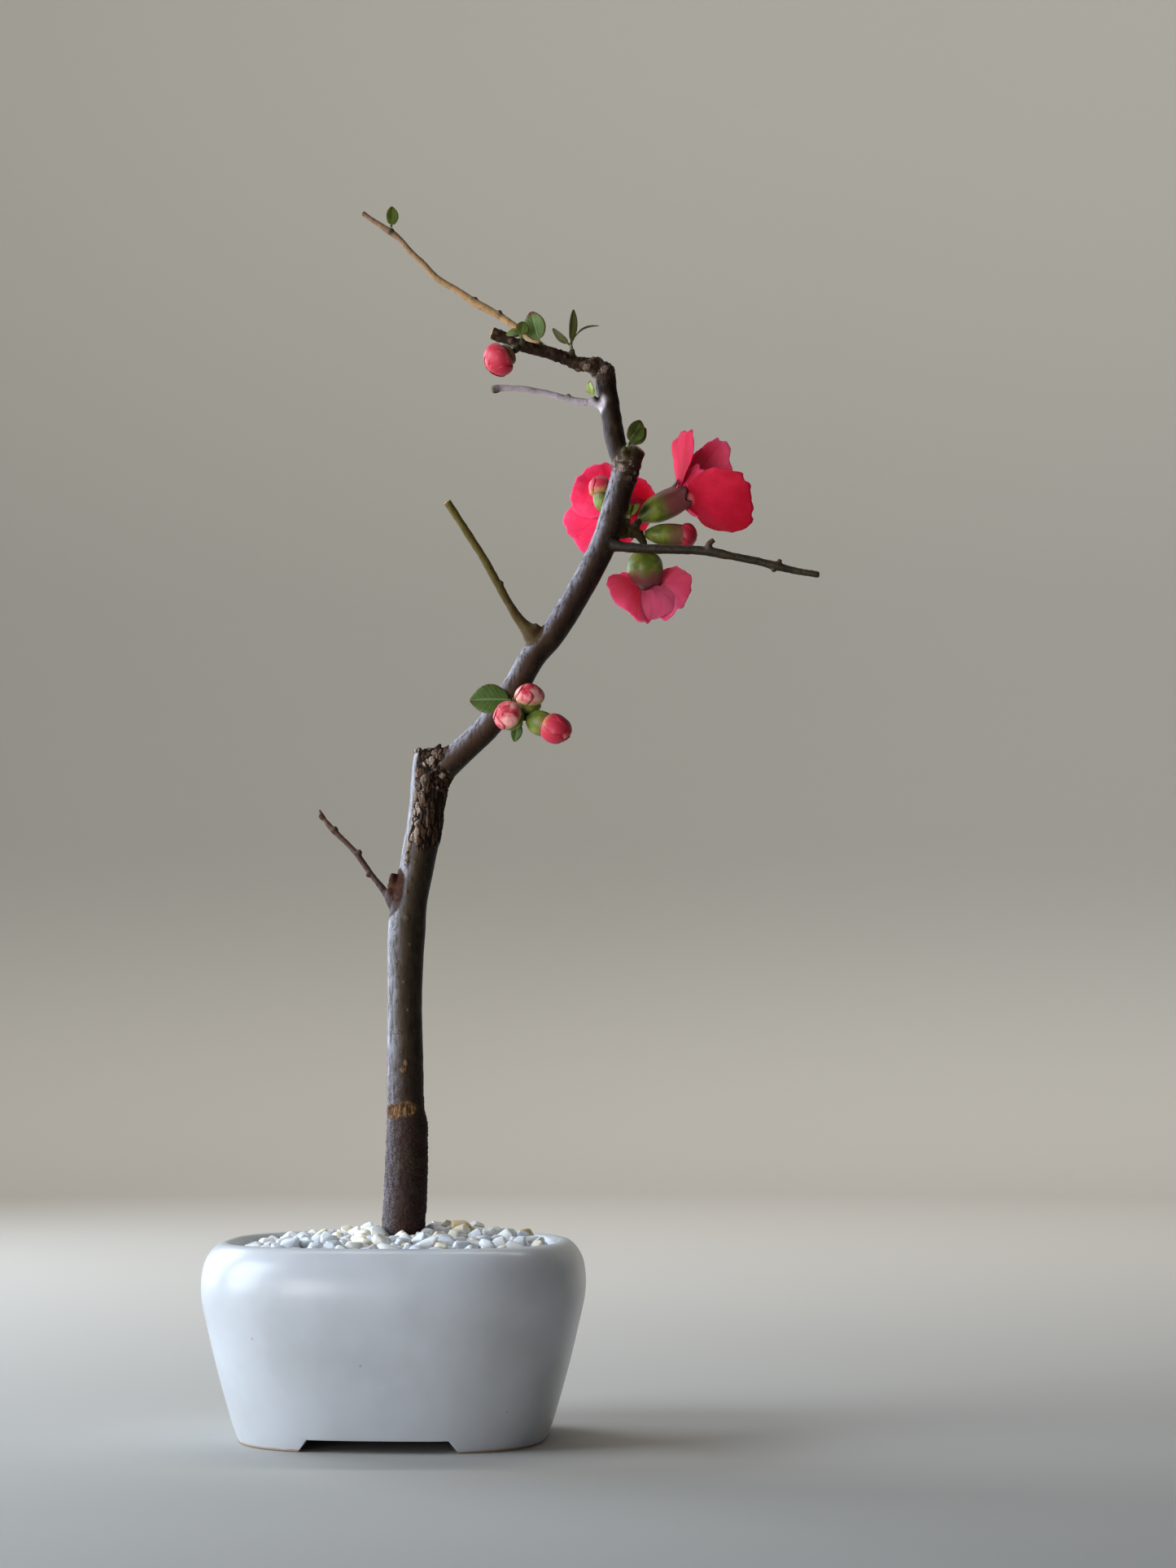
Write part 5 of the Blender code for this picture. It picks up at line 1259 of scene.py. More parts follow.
def limb_tree():
    """Round tubes along curves, as thick as each point's radius says."""
    wiring, given = new_tree("limbs", {"Sides": "Int", "Material": "Material"})
    ring = wiring.node("GeometryNodeCurvePrimitiveCircle", {"Resolution": given["Sides"], "Radius": 1.0})
    limbs = wiring.node("GeometryNodeCurveToMesh",
                        {"Curve": given["Geometry"], "Profile Curve": ring, "Fill Caps": True,
                         "Scale": wiring.node("GeometryNodeInputRadius")})
    return close_tree(wiring, limbs, given["Material"])


def peg_stations(root, base, axis, radius):
    """A short stalk from inside the wood to the seat of a bloom, bud or leaf."""
    base, axis = floats(base), unit(axis)
    neck = base - axis * 1.8
    return [(*root, radius * 1.35), (*neck, radius * 1.05), (*base, radius)]


def sprig_direction(sprig):
    """The way a leaf's stalk leaves its seat: the leaf's own way, or the mean of a few leaves' ways."""
    return unit(sum(floats(leaf.direction) for leaf in sprig.leaves))


def stump_plates():
    """The jagged dark plates of bark that stand up round the cut top of the trunk."""
    plates = []
    for number, (angle, rise) in enumerate(STUMP_PLATES):
        turn = radians(angle)
        x, y = STUMP_CENTRE[0] + 4.8 * cos(turn), STUMP_CENTRE[1] + 4.8 * sin(turn)
        tilt = 0.9 + 0.3 * number
        plates.append([(x, y, 266, 1.9), (x + 0.3 * tilt, y, 271.0, 1.5),
                       (x + 0.5 * tilt, y, 271.4 + rise, 0.7)])
    return plates


def all_limbs():
    """Every limb of the wood with its tints."""
    limbs = list(LIMBS)
    limbs += [Limb(stations, *KNOB_TINTS, 0.4) for stations in SMALL_KNOBS]
    limbs += [Limb(stations, *PLATE_TINTS, 0.9) for stations in stump_plates()]
    seats = [(bloom.root, bloom.base, bloom.start, SEAT_RADIUS * 1.3) for bloom in BLOOMS]
    seats += [(bud.root, bud.base, bud.axis, SEAT_RADIUS * 1.2) for bud in BUDS]
    seats += [(sprig.root, sprig.base, sprig_direction(sprig), SEAT_RADIUS) for sprig in SPRIGS]
    return limbs + [Limb(peg_stations(*seat), *SEAT_TINTS, 0.4) for seat in seats]


def wood_skin(limbs, material, voxel):
    """All limbs as tubes, made one skin."""
    curve = bpy.data.curves.new("limbs", "CURVE")
    curve.dimensions = "3D"
    for limb in limbs:
        rows = smooth_rows(limb.stations, 1.2)
        spline = curve.splines.new("POLY")
        spline.points.add(len(rows) - 1)
        spline.points.foreach_set("co", np.column_stack([place(rows[:, :3]), np.ones(len(rows))]).ravel())
        spline.points.foreach_set("radius", rows[:, 3] * MM)
    item = grow(linked("limbs", curve), limb_tree(), {"Sides": LIMB_SIDES, "Material": material})
    return baked(modified(item, "REMESH", mode="VOXEL", voxel_size=voxel))


def thinned(item, most):
    """A piece with its flattest triangles merged until it has no more than a given number of them."""
    count = sum(len(face.vertices) - 2 for face in item.data.polygons)
    return item if count <= most else baked(modified(item, "DECIMATE", ratio=most / count))


def smoothed(rows, edges, amount, rounds):
    """Rows of numbers on a mesh's points, drawn towards the mean of their neighbours' in each round."""
    size = len(rows)
    count = np.bincount(edges.ravel(), minlength=size).astype(float)[:, None]
    amount = (np.zeros(size) + amount)[:, None]
    for _ in range(rounds):
        total = np.zeros_like(rows)
        for column in range(rows.shape[1]):
            total[:, column] = np.bincount(edges[:, 0], rows[edges[:, 1], column], size)
            total[:, column] += np.bincount(edges[:, 1], rows[edges[:, 0], column], size)
        rows = rows + (total / count - rows) * amount
    return rows


def limb_facts(points, limbs):
    """For each point: its nearest limb, how far along it the point lies, and the way out from its middle."""
    paths = [smooth_rows(limb.stations, 1.0) for limb in limbs]
    owner = np.concatenate([np.full(len(path), number) for number, path in enumerate(paths)])
    share = np.concatenate([np.linspace(0, 1, len(path)) for path in paths])
    rows = np.concatenate(paths)
    tree = KDTree(len(rows))
    for number, row in enumerate(rows):
        tree.insert(row[:3], number)
    tree.balance()
    nearest = np.zeros(len(points), dtype=int)
    for number, point in enumerate(points):
        found = tree.find_n(point, 5)
        nearest[number] = min(found, key=lambda hit: hit[2] - rows[hit[1], 3])[1]
    return owner[nearest], share[nearest], directions(points - rows[nearest, :3])


def near_spot(points, spot, reach):
    """1 at a spot, falling to 0 at a reach."""
    return 1 - ramp(np.linalg.norm(points - np.array(spot), axis=1), reach * 0.35, reach)


def oval(points, x, height, wide, tall):
    """How far a point on the trunk's front lies from an oval's middle, 1 at its edge."""
    return np.hypot((points[:, 0] - x) / wide, (points[:, 2] - height) / tall)


def cut_ends(points, normals, limbs):
    """How far each point lies on a sawn end: 0 off it, then from 0.5 at its rim to 1 at its middle."""
    cut = np.zeros(len(points))
    for number in CUT_LIMBS:
        rows = smooth_rows(limbs[number].stations, 1.0)
        end, radius = rows[-1, :3], rows[-1, 3]
        way = unit(end - rows[-3, :3])
        offset = points - end
        level = offset @ way
        reach = np.linalg.norm(offset - np.outer(level, way), axis=1)
        facing = ramp(normals @ way, 0.15, 0.5) * (np.abs(level) < 1.2) * (reach < radius * 1.3)
        cut = np.maximum(cut, facing * (1 - 0.45 * np.clip(reach / radius, 0, 1) ** 0.7))
    return cut


def wood_relief(points, normals, edges, owner, limbs, way):
    """How far each point of the wood rises, in millimetres, and the tones of the bark there."""
    z = points[:, 2]

    def noise(size, seed):
        return noise_at(points, size, seed)

    def soft(mask, rounds=5):
        return smoothed(floats(mask)[:, None], edges, 0.5, rounds)[:, 0]

    trunk = soft(np.isin(owner, [0, *PLATE_NUMBERS]))
    front = trunk * (1 - ramp(way[:, 1], 0.05, 0.35))
    rise = 0.07 * noise(4.5, 1) + 0.035 * noise(1.6, 2)

    # The corky bark low on the trunk.
    corky = trunk * (1 - ramp(z + 3.0 * noise(7.0, 3), ROUGH_BARK_TOP - 3, ROUGH_BARK_TOP + 5))
    corky = np.maximum(corky, trunk * 0.45 * (1 - ramp(z + 8.0 * noise(9.0, 29), 134, 156)))
    near, _, chance = cells_at(points, (1.45, 1.45, 0.95), 4)
    bumps = np.clip(0.74 - near, 0, 1) * (0.3 + 0.7 * chance)
    rise += corky * (0.62 * bumps + 0.2 * noise(3.2, 5) + 0.16 * noise((2.5, 2.5, 0.9), 6))

    # The stump: a band of plates at the edge of its bare side, a ridged wall and a flaky crown.
    on_branch = soft(owner == 1)
    start, onward = BRANCH_START
    collar = on_branch * (1 - ramp((points - start) @ onward + 0.8 * noise(2.5, 30), -0.7, 0.7))
    wander = points + 1.1 * noise(3.0, 9)[:, None]
    edge = way[:, 0] + 0.2 * noise((5.0, 5.0, 9.0), 7)
    edge = np.maximum(edge, (z - 271.5) / 2.0)
    climb = z + 6.0 * noise((2.2, 2.2, 9.0), 8) - 2.0 * way[:, 0]
    stump = np.maximum(trunk, collar) * ramp(climb, STUMP_START - 1, STUMP_START + 2)
    stump *= np.maximum(collar, ramp(edge, -0.74, -0.62))
    band = (1 - ramp(edge, -0.22, 0.0)) * (1 - ramp(z, 254, 260)) * (1 - collar)
    crown = np.maximum(collar, ramp(z + 3.0 * noise(4.0, 25), 254, 261))
    near_b, second_b, chance_b = cells_at(wander, (3.0, 3.0, 6.4), 10)
    near_r, second_r, chance_r = cells_at(wander, (1.9, 1.9, 16.0), 26)
    near_c, second_c, chance_c = cells_at(wander + 0.6 * noise(1.2, 31)[:, None], (2.9, 2.9, 3.6), 27)
    crack_b = 1 - ramp(second_b - near_b, 0.03, 0.13)
    crack_r = 1 - ramp(second_r - near_r, 0.04, 0.26)
    crack_c = 1 - ramp(second_c - near_c, 0.04, 0.2)
    wall = np.clip(1 - band - crown, 0, 1)
    crack = band * crack_b + wall * crack_r + crown * crack_c
    height = band * (0.22 + 0.25 * chance_b) + wall * (0.55 * chance_r - 0.2)
    height = height + crown * (0.9 * chance_c - 0.3)
    ridges = noise((0.9, 0.9, 6.0), 11)
    rim = np.exp(-((edge + 0.68) / 0.05) ** 2) * stump * (z < 268)
    rise += stump * (height - 0.5 * crack + 0.26 * ridges + 0.14 * noise(1.1, 12)) - 0.35 * rim

    # The ringed joint under the crown, the rough elbow and the knobby or thin twigs.
    ring_joint = near_spot(points, RING_JOINT, 8.5)
    rough_joint = ring_joint * (0.5 + 0.5 * noise(1.7, 13))
    fleck = near_spot(points, RING_JOINT, 9.5) * ramp(noise((1.3, 1.3, 0.8), 34), 0.2, 0.42)
    rise += 0.65 * rough_joint + 0.35 * ring_joint * np.sin(z * 2.1 + 1.5 * noise(3.0, 14))
    elbow = near_spot(points, ELBOW, 12.0)
    knobby = np.maximum(soft(np.isin(owner, (3, 9, 10, 11))), elbow)
    lump = noise(2.3, 15)
    rise += knobby * (0.5 * lump + 0.3 * noise(1.1, 16)) + elbow * (0.7 * chance_c - 0.3 - 0.4 * crack_c)
    rise += soft(np.isin(owner, (4, 5, 6, 7, 8)), 2) * (0.1 * noise(2.2, 17) + 0.08 * noise(1.0, 18))
    rise += on_branch * (0.05 * noise(2.6, 19) + 0.12 * noise(8.0, 20))
    rise += soft(owner == 2) * 0.22 * noise((2.0, 2.0, 3.0), 21)

    # Pores, the healed scar with its lip, and the scars of old buds.
    pores = np.maximum.reduce([front * (1 - ramp(oval(points, *pore), 0.5, 1.3)) for pore in PORES])
    lobes = np.minimum.reduce([oval(points, *lobe) for lobe in SCAR_LOBES]) + 0.1 * noise(1.5, 28)
    healed = front * (1 - ramp(lobes, 0.86, 0.98))
    lip = front * np.exp(-((lobes - 1.02) / 0.12) ** 2)
    fissure = noise((0.8, 0.8, 2.4), 22)
    bud = np.maximum.reduce([1 - ramp(oval(points, *scar), 0.6, 1.05) for scar in BUD_SCARS]) * front
    rise += 0.32 * pores + 0.5 * lip + healed * (0.18 * np.cos(lobes * 7.0) + 0.3 * fissure) + 0.4 * bud

    cut = cut_ends(points, normals, limbs)
    rough = soft(np.array([limb.rough for limb in limbs])[owner], 3)
    # The side that faces the light, where the film becomes painted sheen.
    lit_sheen = ramp(way @ unit(LIT_SIDE) + 0.12 * noise(3.0, 32), 0.24, 0.9)
    film = soft(np.array([limb.film for limb in limbs])[owner], 3)
    chalky = crown * ramp(chance_c - 0.3 * way[:, 0], 0.5, 0.75) + wall * 0.35 * ramp(chance_r, 0.8, 0.95)
    tones = {
        "rough": np.clip(np.maximum.reduce([rough, corky * 0.8, stump, ring_joint * 0.7, elbow * 0.8]), 0, 1),
        "corky": corky * (1 - healed),
        "cut": cut,
        "flake": np.clip(stump + 0.75 * rough_joint + fleck + 0.5 * elbow * (chance_c > 0.4), 0, 1),
        "film": film * (0.03 + 0.97 * lit_sheen) * (1 - 0.5 * corky),
        "shade": ramp(way @ unit(SHADED_SIDE) + 0.1 * noise(4.0, 33), 0.05, 0.95),
        "pale": (np.clip(band * (0.52 + 0.8 * chance_b) + chalky + fleck, 0, 1)
                 * (1 - crack * (fleck < 0.1))),
        "healed": np.clip(healed + 0.85 * bud + 0.6 * pores + 0.35 * lip, 0, 1),
        "rise": (corky * (1.3 * bumps - 0.12) + stump * (0.35 * ridges - 1.1 * crack) - 1.1 * rim
                 + knobby * lump * 0.7 + ring_joint * noise(1.6, 24) * 0.8
                 - healed * 0.5 * (fissure < -0.3)),
    }
    return rise * (1 - ramp(cut, 0.1, 0.4)), tones


def vertex_values(mesh, label):
    """The places or the normals of a mesh's points, one row each."""
    values = np.zeros(len(mesh.vertices) * 3)
    mesh.vertices.foreach_get(label, values)
    return values.reshape(-1, 3)


def make_wood(bark):
    """Trunk, branches and twigs as one skin, with all the relief of the bark."""
    limbs = all_limbs()
    item = wood_skin(limbs, bark_finish(bark), bark.voxel)
    mesh = item.data
    edges = np.zeros(len(mesh.edges) * 2, dtype=np.int32)
    mesh.edges.foreach_get("vertices", edges)
    edges = edges.reshape(-1, 2)
    points = smoothed(shift(vertex_values(mesh, "co")), edges, 0.5, 3)
    forks = np.zeros(len(points))
    for limb in LIMBS[1:]:
        *spot, radius = limb.stations[1]
        forks = np.maximum(forks, near_spot(points, spot, radius * 2.4))
    points = smoothed(points, edges, forks * 0.6, 22)
    owner, share, way = limb_facts(points, limbs)
    # The stump's plates face out from its middle, and those on its bare side belong to the trunk.
    plates = np.isin(owner, PLATE_NUMBERS)
    core = directions(points[:, :2] - STUMP_CENTRE)
    way[plates] = np.column_stack([core, np.zeros(len(core))])[plates]
    owner[plates & (way[:, 0] < -0.45)] = 0
    mesh.vertices.foreach_set("co", place(points).ravel())
    mesh.update()
    normals = vertex_values(mesh, "normal")
    rise, tones = wood_relief(points, normals, edges, owner, limbs, way)
    points += normals * rise[:, None]
    mesh.vertices.foreach_set("co", place(points).ravel())
    roots = np.array([limb.root_tint for limb in limbs])[owner]
    tips = np.array([limb.tip_tint for limb in limbs])[owner]
    tint = smoothed(roots + (tips - roots) * share[:, None], edges, 0.5, 12)
    tint = tint + (np.array(CORKY_TINT) - tint) * (tones["corky"] * 0.85)[:, None]
    # Painted shade: the trunk, main branch and upper stem are darkened on the side away from the light.
    tint = tint * (1 - 0.72 * (tones["shade"] * (owner < 3)))[:, None]
    colour = mesh.attributes.new("tint", "FLOAT_COLOR", "POINT")
    colour.data.foreach_set("color", np.column_stack([tint, np.ones(len(points))]).ravel())
    for label, values in tones.items():
        mark(mesh, label, values)
    mesh.update()
    item = thinned(item, WOOD_TRIANGLES)
    item.name = "quince_wood"
    item.data.shade_smooth()
    hand_over(item, "bark", "trunk_and_branches")


def blade(sheet, rows, columns, thickness):
    """A closed thin blade on a sheet, a function of arrays u from 0 to 1 and v from -1 to 1."""
    small = 0.01
    u = np.repeat(np.linspace(0, 1, rows + 1), columns + 1)
    v = np.tile(np.linspace(-1, 1, columns + 1), rows + 1)
    middle = sheet(u, v)
    along = sheet(np.minimum(1, u + small), v) - sheet(np.maximum(0, u - small), v)
    across = sheet(u, np.minimum(1, v + small)) - sheet(u, np.maximum(-1, v - small))
    half = thickness / 2 * (1 - 0.7 * np.maximum(np.abs(v), u) ** 8)
    offset = directions(np.cross(across, along)) * half[:, None]
    points = np.concatenate([middle + offset, middle - offset])
    count, width = len(middle), columns + 1
    faces = []
    for row in range(rows):
        for column in range(columns):
            a = row * width + column
            quad = (a, a + 1, a + width + 1, a + width)
            faces += [quad, tuple(count + corner for corner in quad[::-1])]
    rim = [row * width for row in range(rows)]
    rim += [rows * width + column for column in range(columns)]
    rim += [row * width + columns for row in range(rows, 0, -1)]
    rim += list(range(columns, 0, -1))
    for here, there in zip(rim, rim[1:] + rim[:1]):
        faces.append((here, there, count + there, count + here))
    return points, faces, np.tile(np.column_stack([u, v]), (2, 1))


def petal_sheet(petal, centre, axis, core, number):
    """A round petal on a short claw, with a waved, faintly frilled edge and a shallow notch."""
    axis, one, two = cross_frame(axis)
    azimuth = radians(petal.azimuth)
    radial = one * cos(azimuth) + two * sin(azimuth)
    tangential = np.cross(axis, radial)
    lean = tan(radians(petal.lean))
    t = (np.arange(PETAL_STEPS) + 0.5) / PETAL_STEPS
    lift = petal.lift_low + (petal.lift_high - petal.lift_low) * t
    lift = np.radians(lift + (CLAW_LIFT - petal.lift_low) * np.exp(-t * petal.length / CLAW_LENGTH))
    outs = core + np.concatenate([[0], np.cumsum(np.cos(lift))]) * petal.length / PETAL_STEPS
    ups = np.concatenate([[0], np.cumsum(np.sin(lift))]) * petal.length / PETAL_STEPS

    def sheet(u, v):
        fan = radians(PETAL_FAN) * v
        notch = 1 - PETAL_NOTCH * u ** 4 * np.exp(-(fan / 0.22) ** 2)
        ragged = 1 - 0.032 * u ** 3 * (1 + np.sin(6.5 * fan + 1.9 * number) * np.sin(2.7 * fan + number))
        ragged = ragged - 0.012 * u ** 6 * (np.sin(19 * fan + 3 * number) + np.sin(31 * fan + number))
        along = u * np.cos(fan) ** PETAL_ROUND * notch * ragged
        side = CLAW_HALF_WIDTH * (1 - u) ** 2 * v + petal.width * u * np.cos(fan) * np.sin(fan) * ragged
        out = np.interp(along * PETAL_STEPS, range(PETAL_STEPS + 1), outs)
        up = np.interp(along * PETAL_STEPS, range(PETAL_STEPS + 1), ups)
        cup = PETAL_CUP * side * side / (petal.width / 2)
        ripple = u ** 3 * (0.7 * np.sin(4.2 * fan + number * 1.7) + 0.4 * np.sin(9 * fan + number))
        frill = u ** 5 * (0.42 * np.sin(14 * fan + 2.3 * number) + 0.2 * np.sin(25 * fan + number))
        crease = -0.3 * np.exp(-(side / 1.3) ** 2) * np.sin(pi * np.clip(along * 1.15, 0, 1))
        up = up + cup + ripple + frill + crease + lean * side
        return centre + np.outer(out - 0.3 * cup, radial) + np.outer(up, axis) + np.outer(side, tangential)

    return sheet


def disc(centre, axis, radius, low, high, sides=24):
    """Points and faces of a short round button on an axis between two levels."""
    axis, one, two = cross_frame(axis)
    ring = spokes(turns(sides), one, two)
    levels = [(low, 0.8), (low + 0.2, 1.0), (high - 0.3, 1.0), (high, 0.75)]
    loops = [centre + axis * level + ring * radius * share for level, share in levels]
    return np.concatenate(loops), loops_faces(len(loops), sides)


def make_petals(bloom, flower, material):
    """The petals of a bloom in their layers, round a small core that sits in the calyx."""
    axis = unit(bloom.axis)
    centre = np.array(bloom.end) + axis * 0.1
    core = bloom.rim_radius * CALYX_PROFILE[-1][1] - 1.9
    thickness = flower.thickness / MM
    parts = Parts()
    parts.add(*disc(centre, axis, core, -1.6, 0.7), tone=0.6)
    for number, petal in enumerate(bloom.petals):
        sheet = petal_sheet(petal, centre, axis, core - 1.3, number)
        parts.add(*blade(sheet, 22, 44 if petal.width > 20 else 32, thickness),
                  tone=petal.tone + 0.06 * (number % 3))
    for number, petal in enumerate(bloom.small_petals):
        sheet = petal_sheet(petal, centre, axis, core - 1.2, number + len(bloom.petals))
        parts.add(*blade(sheet, 12, 16, thickness), tone=0.5)
    hand_over(parts.piece(bloom.name + "_petal_set", material), "petal_red", bloom.name + "_petals")


def calyx_points(base, start, end, axis, rim_radius, lobe_length, lobe_flare):
    """A cup that swells from its stalk, bends from one direction to another and ends in five lobes."""
    start, axis, end = unit(start), unit(axis), floats(end)
    base = floats(base) + start * STALK_CLEARANCE
    length = float(np.linalg.norm(end - base))
    profile = smooth_profile([(share * length, size * rim_radius) for share, size in CALYX_PROFILE], 0.7)
    shares = profile[:, 0] / length
    centres = np.array([hermite(base, start * length, end, axis * length, t) for t in shares])
    firsts, seconds = path_frames(centres)
    angle = turns(CALYX_SIDES, 0.5)
    lobe = np.clip(0.5 + 0.5 * np.cos(5 * angle), 0, 1) ** 0.6
    loops, along = [], []
    for t, (_, radius), centre, one, two in zip(shares, profile, centres, firsts, seconds):
        ribs = 0.035 * (2 * lobe - 1) * ramp(t, 0.35, 1.0) + 0.02 * np.sin(3 * angle) * t * (1 - t)
        loops.append(centre + spokes(angle, one, two) * (radius * (1 + ribs))[:, None])
        along.append(np.full(CALYX_SIDES, t))
    one = unit(firsts[-1] - axis * float(axis @ firsts[-1]))
    ring = spokes(angle, one, np.cross(axis, one))
    rim = profile[-1, 1]
    rise = lobe * lobe_length * (1 + 0.12 * np.sin(angle * 2 + rim_radius * 7))
    for climb, depth, chart in LOBE_STEPS:
        reach = rim - depth + lobe_flare * (rise * climb) ** 1.4
        loops.append(end + ring * reach[:, None] + np.outer(rise * climb, axis))
        along.append(chart * (0.93 + 0.07 * lobe))
    loops.append(end - axis * CALYX_DEPTH + ring * (rim - 1.3))
    along.append(np.ones(CALYX_SIDES))
    chart = np.column_stack([np.concatenate(along), np.tile(angle, len(loops))])
    return np.concatenate(loops), loops_faces(len(loops), CALYX_SIDES), chart


def make_calyx(owner, points, tone, material):
    """The calyx of a bloom or bud."""
    parts = Parts()
    parts.add(*points, tone=tone)
    hand_over(parts.piece(owner.name + "_calyx_cup", material), "calyx_green", owner.name + "_calyx")


def stamen_tree():
    """Filaments on a disc: spiralled out from its middle and spread like a fountain."""
    wiring, given = new_tree("stamens", {"Filament": "Object", "Count": "Int", "Disc": "Float",
                                         "Spread": "Float", "Seed": "Int", "Material": "Material"})
    number = wiring.node("GeometryNodeInputIndex")
    turn = number * GOLDEN_TURN
    reach = ((number + 0.5) / given["Count"]) ** 0.5
    way = wiring.node("ShaderNodeCombineXYZ",
                      {"X": wiring.math("COSINE", turn) * reach, "Y": wiring.math("SINE", turn) * reach})
    points = wiring.node("GeometryNodePoints",
                         {"Count": given["Count"], "Position": wiring.scaled(way, given["Disc"])})
    lean = wiring.node("ShaderNodeVectorMath",
                       {0: wiring.scaled(way, given["Spread"]), 1: (0.0, 0.0, 1.0)}, operation="ADD")
    rotation = wiring.node("FunctionNodeAlignRotationToVector", {"Vector": lean}, axis="Z")
    filament = wiring.node("GeometryNodeObjectInfo", {"Object": given["Filament"]}, "Geometry")
    placed = wiring.node("GeometryNodeInstanceOnPoints",
                         {"Points": points, "Instance": filament, "Rotation": rotation,
                          "Scale": wiring.random(0.78, 1.08, given["Seed"])})
    return close_tree(wiring, placed, given["Material"])


def filament_object():
    """One filament with its anther, at the origin and along z, in metres."""
    parts = Parts()
    parts.add(*tube([(0, 0, 0, 0.17), (0.25, 0, 2.6, 0.15), (0.1, 0, 5.6, 0.12)], 6, 1.4))
    parts.add(*tube([(0.1, 0, 5.4, 0.12), (0.1, 0, 5.6, 0.42), (0.1, 0, 6.2, 0.5), (0.12, 0, 6.7, 0.34),
                     (0.12, 0, 6.85, 0.1)], 8, 0.5), tone=1.0)
    mesh = bpy.data.meshes.new("filament")
    mesh.from_pydata((np.concatenate(parts.points) * MM).tolist(), [], parts.faces)
    mark(mesh, "anther", np.concatenate(parts.tone))
    mesh.shade_smooth()
    return linked("filament", mesh)


def make_stamens(bloom, flower, filament, tree, material):
    """The fountain of stamens inside a bloom."""
    name = bloom.name + "_stamen_set"
    item = grow(linked(name, bpy.data.meshes.new(name)), tree,
                {"Filament": filament, "Count": flower.filaments, "Disc": STAMEN_DISC * MM,
                 "Spread": STAMEN_SPREAD, "Seed": len(bloom.petals), "Material": material})
    axis, one, two = cross_frame(bloom.axis)
    turned = Matrix((one, two, axis)).transposed().to_4x4()
    item.data.transform(Matrix.Translation(place(np.array(bloom.end) + axis * 0.9)) @ turned)
    item.data.update()
    hand_over(item, "stamen_yellow", bloom.name + "_stamens")


def make_blooms(flower):
    """Three blooms: calyx, petals and stamens."""
    petals, calyx, stamens = petal_finish(flower), calyx_finish(flower), stamen_finish()
    filament, tree = filament_object(), stamen_tree()
    for bloom in BLOOMS:
        make_calyx(bloom, calyx_points(bloom.base, bloom.start, bloom.end, bloom.axis, bloom.rim_radius,
                                       bloom.lobe, bloom.flare), bloom.blush, calyx)
        make_petals(bloom, flower, petals)
        make_stamens(bloom, flower, filament, tree, stamens)
    bpy.data.objects.remove(filament)


def bud_profile(bud):
    """The level at which a bud's rolled petals begin, their rise, and the levels and radii above."""
    rim = bud.calyx_radius * CALYX_PROFILE[-1][1]
    waist = bud.calyx_length - 0.4
    rise = bud.length - waist
    shares = [(0.0, (rim - 0.9) / bud.radius), (0.12, 0.9), (0.38, 1.0), (0.66, 0.87), (0.88, 0.54),
              (0.97, 0.26), (1.0, 0.05)]
    return waist, rise, smooth_profile([(share * rise, size * bud.radius) for share, size in shares], 0.4)


def rolled_petal(bud, number, profile, waist, rise):
    """One rolled petal of a bud: it lies over the next one and tucks under the last."""
    axis, one, two = cross_frame(bud.axis)
    turn = 2 * pi * number / BUD_WRAPS + bud.radius
    top = 1.0 - 0.035 * (number * 2 % BUD_WRAPS)

    def sheet(u, v):
        climb = u * top
        level = climb * rise
        radius = np.interp(level, profile[:, 0], profile[:, 1])
        span = 1.12 * np.sqrt(np.clip(1 - np.clip((u - 0.5) / 0.5, 0, 1) ** 2.3, 0, 1)) + 0.05
        edge = 0.07 * v + 0.05 + 0.025 * np.sin(6 * u + 2 * number) * v * u
        lifted = radius * (1 + edge * np.clip(u * 6, 0, 1) * (1 - 0.5 * u ** 4))
        lifted = lifted + 0.12 * np.maximum(v, 0) ** 4 * u
        ring = spokes(turn + 1.0 * climb + span * v, one, two)
        level = waist + level - 0.25 * (1 - v ** 2) * u ** 6
        return floats(bud.base) + np.outer(level, axis) + ring * lifted[:, None]

    return sheet


def make_buds(flower):
    """Six buds: a lobed calyx each and overlapping rolled petals round a closed heart."""
    green = calyx_finish(flower, "bud_calyx_green", 0.8, 1.15, 0.7)
    rose = bud_finish(flower)
    for bud in BUDS:
        axis, one, two = cross_frame(bud.axis)
        base = floats(bud.base)
        make_calyx(bud, calyx_points(bud.base, axis, base + axis * bud.calyx_length, axis, bud.calyx_radius,
                                     BUD_LOBE, BUD_FLARE), bud.purple, green)
        waist, rise, profile = bud_profile(bud)
        ring = spokes(turns(HEART_SIDES), one, two)
        heart = [base + axis * (waist + level * 0.985) + ring * (radius * 0.95)
                 for level, radius in profile[::3]]
        parts = Parts()
        parts.add(np.concatenate(heart), loops_faces(len(heart), HEART_SIDES),
                  np.full((len(heart) * HEART_SIDES, 2), (0.5, 0.0)))
        for number in range(BUD_WRAPS):
            points, faces, uv = blade(rolled_petal(bud, number, profile, waist, rise), 22, 20, 0.26)
            parts.add(points, faces, uv * (0.75, 1.0) + (0.25, 0.0), bud.cream + 0.2 * (number % 2))
        hand_over(parts.piece(bud.name + "_rolled_petals", rose), "bud_pink", bud.name + "_petals")


